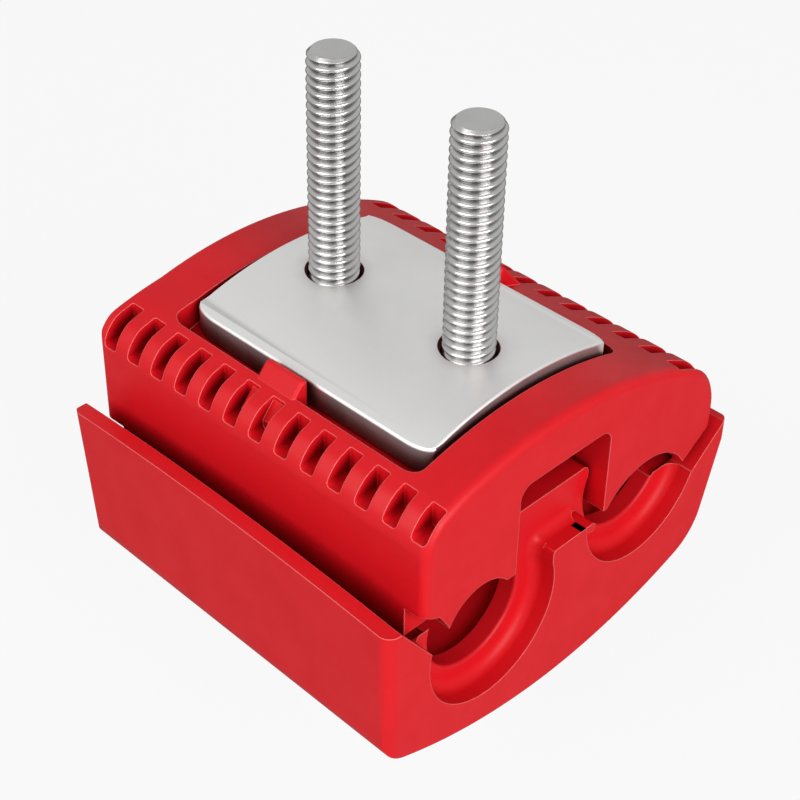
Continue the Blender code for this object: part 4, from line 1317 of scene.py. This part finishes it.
@dataclass
class Steelwork:
    """The plates, bolts and washers; each washer's size is its thickness and radius."""

    bore_r: float = 5.3
    flat_top: float = LOWER_CROWN_Z + 0.7 - 0.3
    flat_size: tuple[float, float] = (1.8, 9.2)
    split_top: float = LOWER_CROWN_Z + 0.7 - 0.3 - 2.1
    split_size: tuple[float, float] = (2.4, 8.6)

    def washer(self, name: str, y: float, top: float, thick: float, r: float, spring: bool) -> bpy.types.Mesh:
        """Build a flat washer, or a spring washer with its slanting cut."""
        ring = Moulding(name, Shaper.turned(name + "_ring", "Z", 0, y, 0,
                                            [(r - 0.3, top - thick), (r, top - thick + 0.3), (r, top - 0.3),
                                             (r - 0.3, top)], 72))
        ring.cut(Shaper.post(name + "_bore", 0, y, top - thick - 1, top + 1, self.bore_r))
        if spring:
            gap = Shaper.brick(name + "_gap", (4.0, y - 0.5, top - thick - 2), (r + 2, y + 0.5, top + 2))
            tilt = Matrix.Rotation(math.radians(28), 4, "X")
            centre = Matrix.Translation(DATUM.place(0, y, top - thick / 2))
            gap.transform(centre @ tilt @ centre.inverted())
            ring.cut(gap)
        return ring.finish()

    def build(self, assembly: Assembly) -> None:
        """Add every steel piece."""
        plate = PLATE.build()
        head = HEAD.build()
        assembly.add("arched_plate_upper", PressurePlate(Side.UPPER, UPPER_CROWN_Z).mesh(), plate, Body.UPPER,
                     Finish.PLATE, ["upper_pressure_plate"])
        assembly.add("arched_plate_lower", PressurePlate(Side.LOWER, LOWER_CROWN_Z).mesh(), plate, Body.LOWER,
                     Finish.PLATE, ["lower_pressure_plate"])
        bodies = {"near": Body.NEAR_BOLT, "far": Body.FAR_BOLT}
        for name, y in bolt_stations():
            bolt = ShearBolt(y)
            look = ThreadLook(f"rolled_thread_{name}", (0.66, 0.655, 0.65), (0.60, 0.595, 0.59), 0.26, 0.04,
                              metallic=1.0, edge_radius=0.08, grain_size=3200.0, bump=0.05, axis=(0.0, y))
            assembly.add(f"threaded_shank_{name}", bolt.thread(), look.build(), bodies[name], Finish.BOLT,
                         [f"bolt_{name}"], 60.0)
            assembly.add(f"shear_head_{name}", bolt.head(), head, bodies[name], Finish.BOLT)
            for kind, solid, top, size in (
                    ("washer", "flat_washer", self.flat_top, self.flat_size),
                    ("split_washer", "spring_washer", self.split_top, self.split_size)):
                ring = self.washer(f"{kind}_{name}", y, top, *size, kind == "split_washer")
                assembly.add(f"{kind}_{name}", ring, head, Body.LOWER, Finish.BOLT, [f"{solid}_{name}"])


@dataclass
class Mouldings:
    """The two red jaws."""

    def build(self, assembly: Assembly) -> None:
        """Add both jaws."""
        red = NYLON.build()
        assembly.add("domed_jaw", UpperJaw().mesh(), red, Body.UPPER, Finish.NYLON, ["upper_jaw"])
        assembly.add("tray_jaw", LowerJaw().mesh(), red, Body.LOWER, Finish.NYLON, ["lower_jaw"])


@dataclass
class Inserts:
    """Blades and rubber seals, which keep their solids."""

    blades: tuple[str, ...] = ("upper_blade_near", "upper_blade_far", "lower_blade_near", "lower_blade_far")
    seals: tuple[str, ...] = ("upper_tap_gasket", "upper_main_gasket", "lower_tap_gasket",
                              "lower_main_gasket", "bolt_seal_near", "bolt_seal_far")

    def build(self, assembly: Assembly) -> None:
        """Dress the inner solids."""
        for node in self.blades:
            assembly.dress(node, CONTACT.build())
        for node in self.seals:
            assembly.dress(node, RUBBER.build())


# --------------------------------------------------------------------------
# Studio
# --------------------------------------------------------------------------


@dataclass
class Studio:
    """Pale floor, soft lights and the camera at the photograph's angle."""

    eye: tuple[float, float, float] = (-205.57, -198.59, 196.54)
    right: tuple[float, float, float] = (0.70256, -0.71145, 0.01616)
    up: tuple[float, float, float] = (0.42006, 0.43293, 0.79758)
    back: tuple[float, float, float] = (-0.57443, -0.55355, 0.60300)
    lens: float = 83.49
    shift_y: float = -0.0127
    floor_z: float = -90.8
    paper_tone: float = 0.42
    paper_glow: float = 1.05
    glow_share: float = 0.86
    soft_air: float = 0.24
    mirrored_air: float = 0.62
    lamp_aim: tuple[float, float, float] = (-0.02, 0.0, 0.0)

    def camera(self) -> None:
        """Set the camera where the photograph was taken."""
        data = bpy.data.cameras.new("photo_camera")
        data.lens = self.lens
        data.sensor_width = 36.0
        data.shift_y = self.shift_y
        data.clip_start = 0.01
        data.clip_end = 20.0
        obj = bpy.data.objects.new("photo_camera", data)
        bpy.context.scene.collection.objects.link(obj)
        turn = Matrix((self.right, self.up, self.back)).transposed().to_4x4()
        obj.matrix_world = Matrix.Translation(DATUM.place(*self.eye)) @ turn
        bpy.context.scene.camera = obj

    def floor(self) -> None:
        """Lay the pale floor, which shows white away from the shadow."""
        bm = bmesh.new()
        bmesh.ops.create_grid(bm, x_segments=1, y_segments=1, size=6.0)
        bmesh.ops.translate(bm, vec=Vector((0, 0, DATUM.place(0, 0, self.floor_z).z)), verts=bm.verts)
        obj = bpy.data.objects.new("studio_floor", Shaper.mesh("studio_floor", bm))
        bpy.context.scene.collection.objects.link(obj)
        obj.data.materials.append(self.floor_look())

    def floor_look(self) -> bpy.types.Material:
        """Return the floor's finish: nearly white to the camera, dimmer where it lights the object."""
        mat = bpy.data.materials.new("studio_white")
        mat.use_nodes = True
        bench = NodeBench(mat.node_tree)
        paper = mat.node_tree.nodes["Principled BSDF"]
        paper.inputs["Base Color"].default_value = (*[self.paper_tone] * 3, 1)
        paper.inputs["Roughness"].default_value = 0.9
        paper.inputs["Specular IOR Level"].default_value = 0.0
        glow = bench.node("ShaderNodeEmission", "seen_white")
        glow.inputs["Color"].default_value = (1, 1, 1, 1)
        glow.inputs["Strength"].default_value = self.paper_glow
        seen = bench.node("ShaderNodeLightPath").outputs["Is Camera Ray"]
        share = bench.maths("MULTIPLY", seen, self.glow_share)
        mix = bench.node("ShaderNodeMixShader")
        bench.link(share, mix.inputs[0])
        bench.link(paper.outputs[0], mix.inputs[1])
        bench.link(glow.outputs[0], mix.inputs[2])
        bench.link(mix.outputs[0], mat.node_tree.nodes["Material Output"].inputs["Surface"])
        return mat

    def lamp(self, name: str, place: tuple[float, float, float], size: float, watts: float) -> None:
        """Hang one square soft box.

        Args:
            name: Name of the lamp.
            place: Its place, in metres in the model's frame.
            size: Side length in metres.
            watts: Its power.
        """
        data = bpy.data.lights.new(name, "AREA")
        data.shape = "SQUARE"
        data.size = size
        data.energy = watts
        obj = bpy.data.objects.new(name, data)
        bpy.context.scene.collection.objects.link(obj)
        look = Vector(self.lamp_aim) - Vector(place)
        obj.rotation_mode = "QUATERNION"
        obj.rotation_quaternion = look.to_track_quat("-Z", "Y")
        obj.location = place

    def world(self) -> None:
        """Light from all round, and a white background for the camera."""
        world = bpy.data.worlds.new("studio_air")
        world.use_nodes = True
        bench = NodeBench(world.node_tree)
        air = world.node_tree.nodes["Background"]
        sheen = bench.node("ShaderNodeBackground", "mirrored_air")
        white = bench.node("ShaderNodeBackground", "seen_white")
        for made, strength in ((air, self.soft_air), (sheen, self.mirrored_air), (white, 1.0)):
            made.inputs["Color"].default_value = (1, 1, 1, 1)
            made.inputs["Strength"].default_value = strength
        ray = bench.node("ShaderNodeLightPath")
        light = air.outputs[0]
        for kind, other in (("Is Glossy Ray", sheen), ("Is Camera Ray", white)):
            mix = bench.node("ShaderNodeMixShader")
            bench.link(ray.outputs[kind], mix.inputs[0])
            bench.link(light, mix.inputs[1])
            bench.link(other.outputs[0], mix.inputs[2])
            light = mix.outputs[0]
        bench.link(light, world.node_tree.nodes["World Output"].inputs["Surface"])
        bpy.context.scene.world = world

    def build(self) -> None:
        """Set up the whole studio."""
        self.camera()
        self.floor()
        self.world()
        self.lamp("key_box", (-0.22, -0.80, 0.34), 0.6, 6.5)
        self.lamp("fill_box", (-0.80, 0.1, 0.50), 0.7, 4.6)
        bpy.context.scene.view_settings.view_transform = "Standard"


def write_sizes() -> None:
    """Update the view layer."""
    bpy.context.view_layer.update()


def main() -> None:
    """Build the connector, then the studio around it."""
    logging.basicConfig(level=logging.INFO)
    assembly = Assembly()
    Mouldings().build(assembly)
    Steelwork().build(assembly)
    Inserts().build(assembly)
    Studio().build()
    write_sizes()
    LOG.info("%d pieces", len(assembly.pieces))


if __name__ == "__main__":
    main()
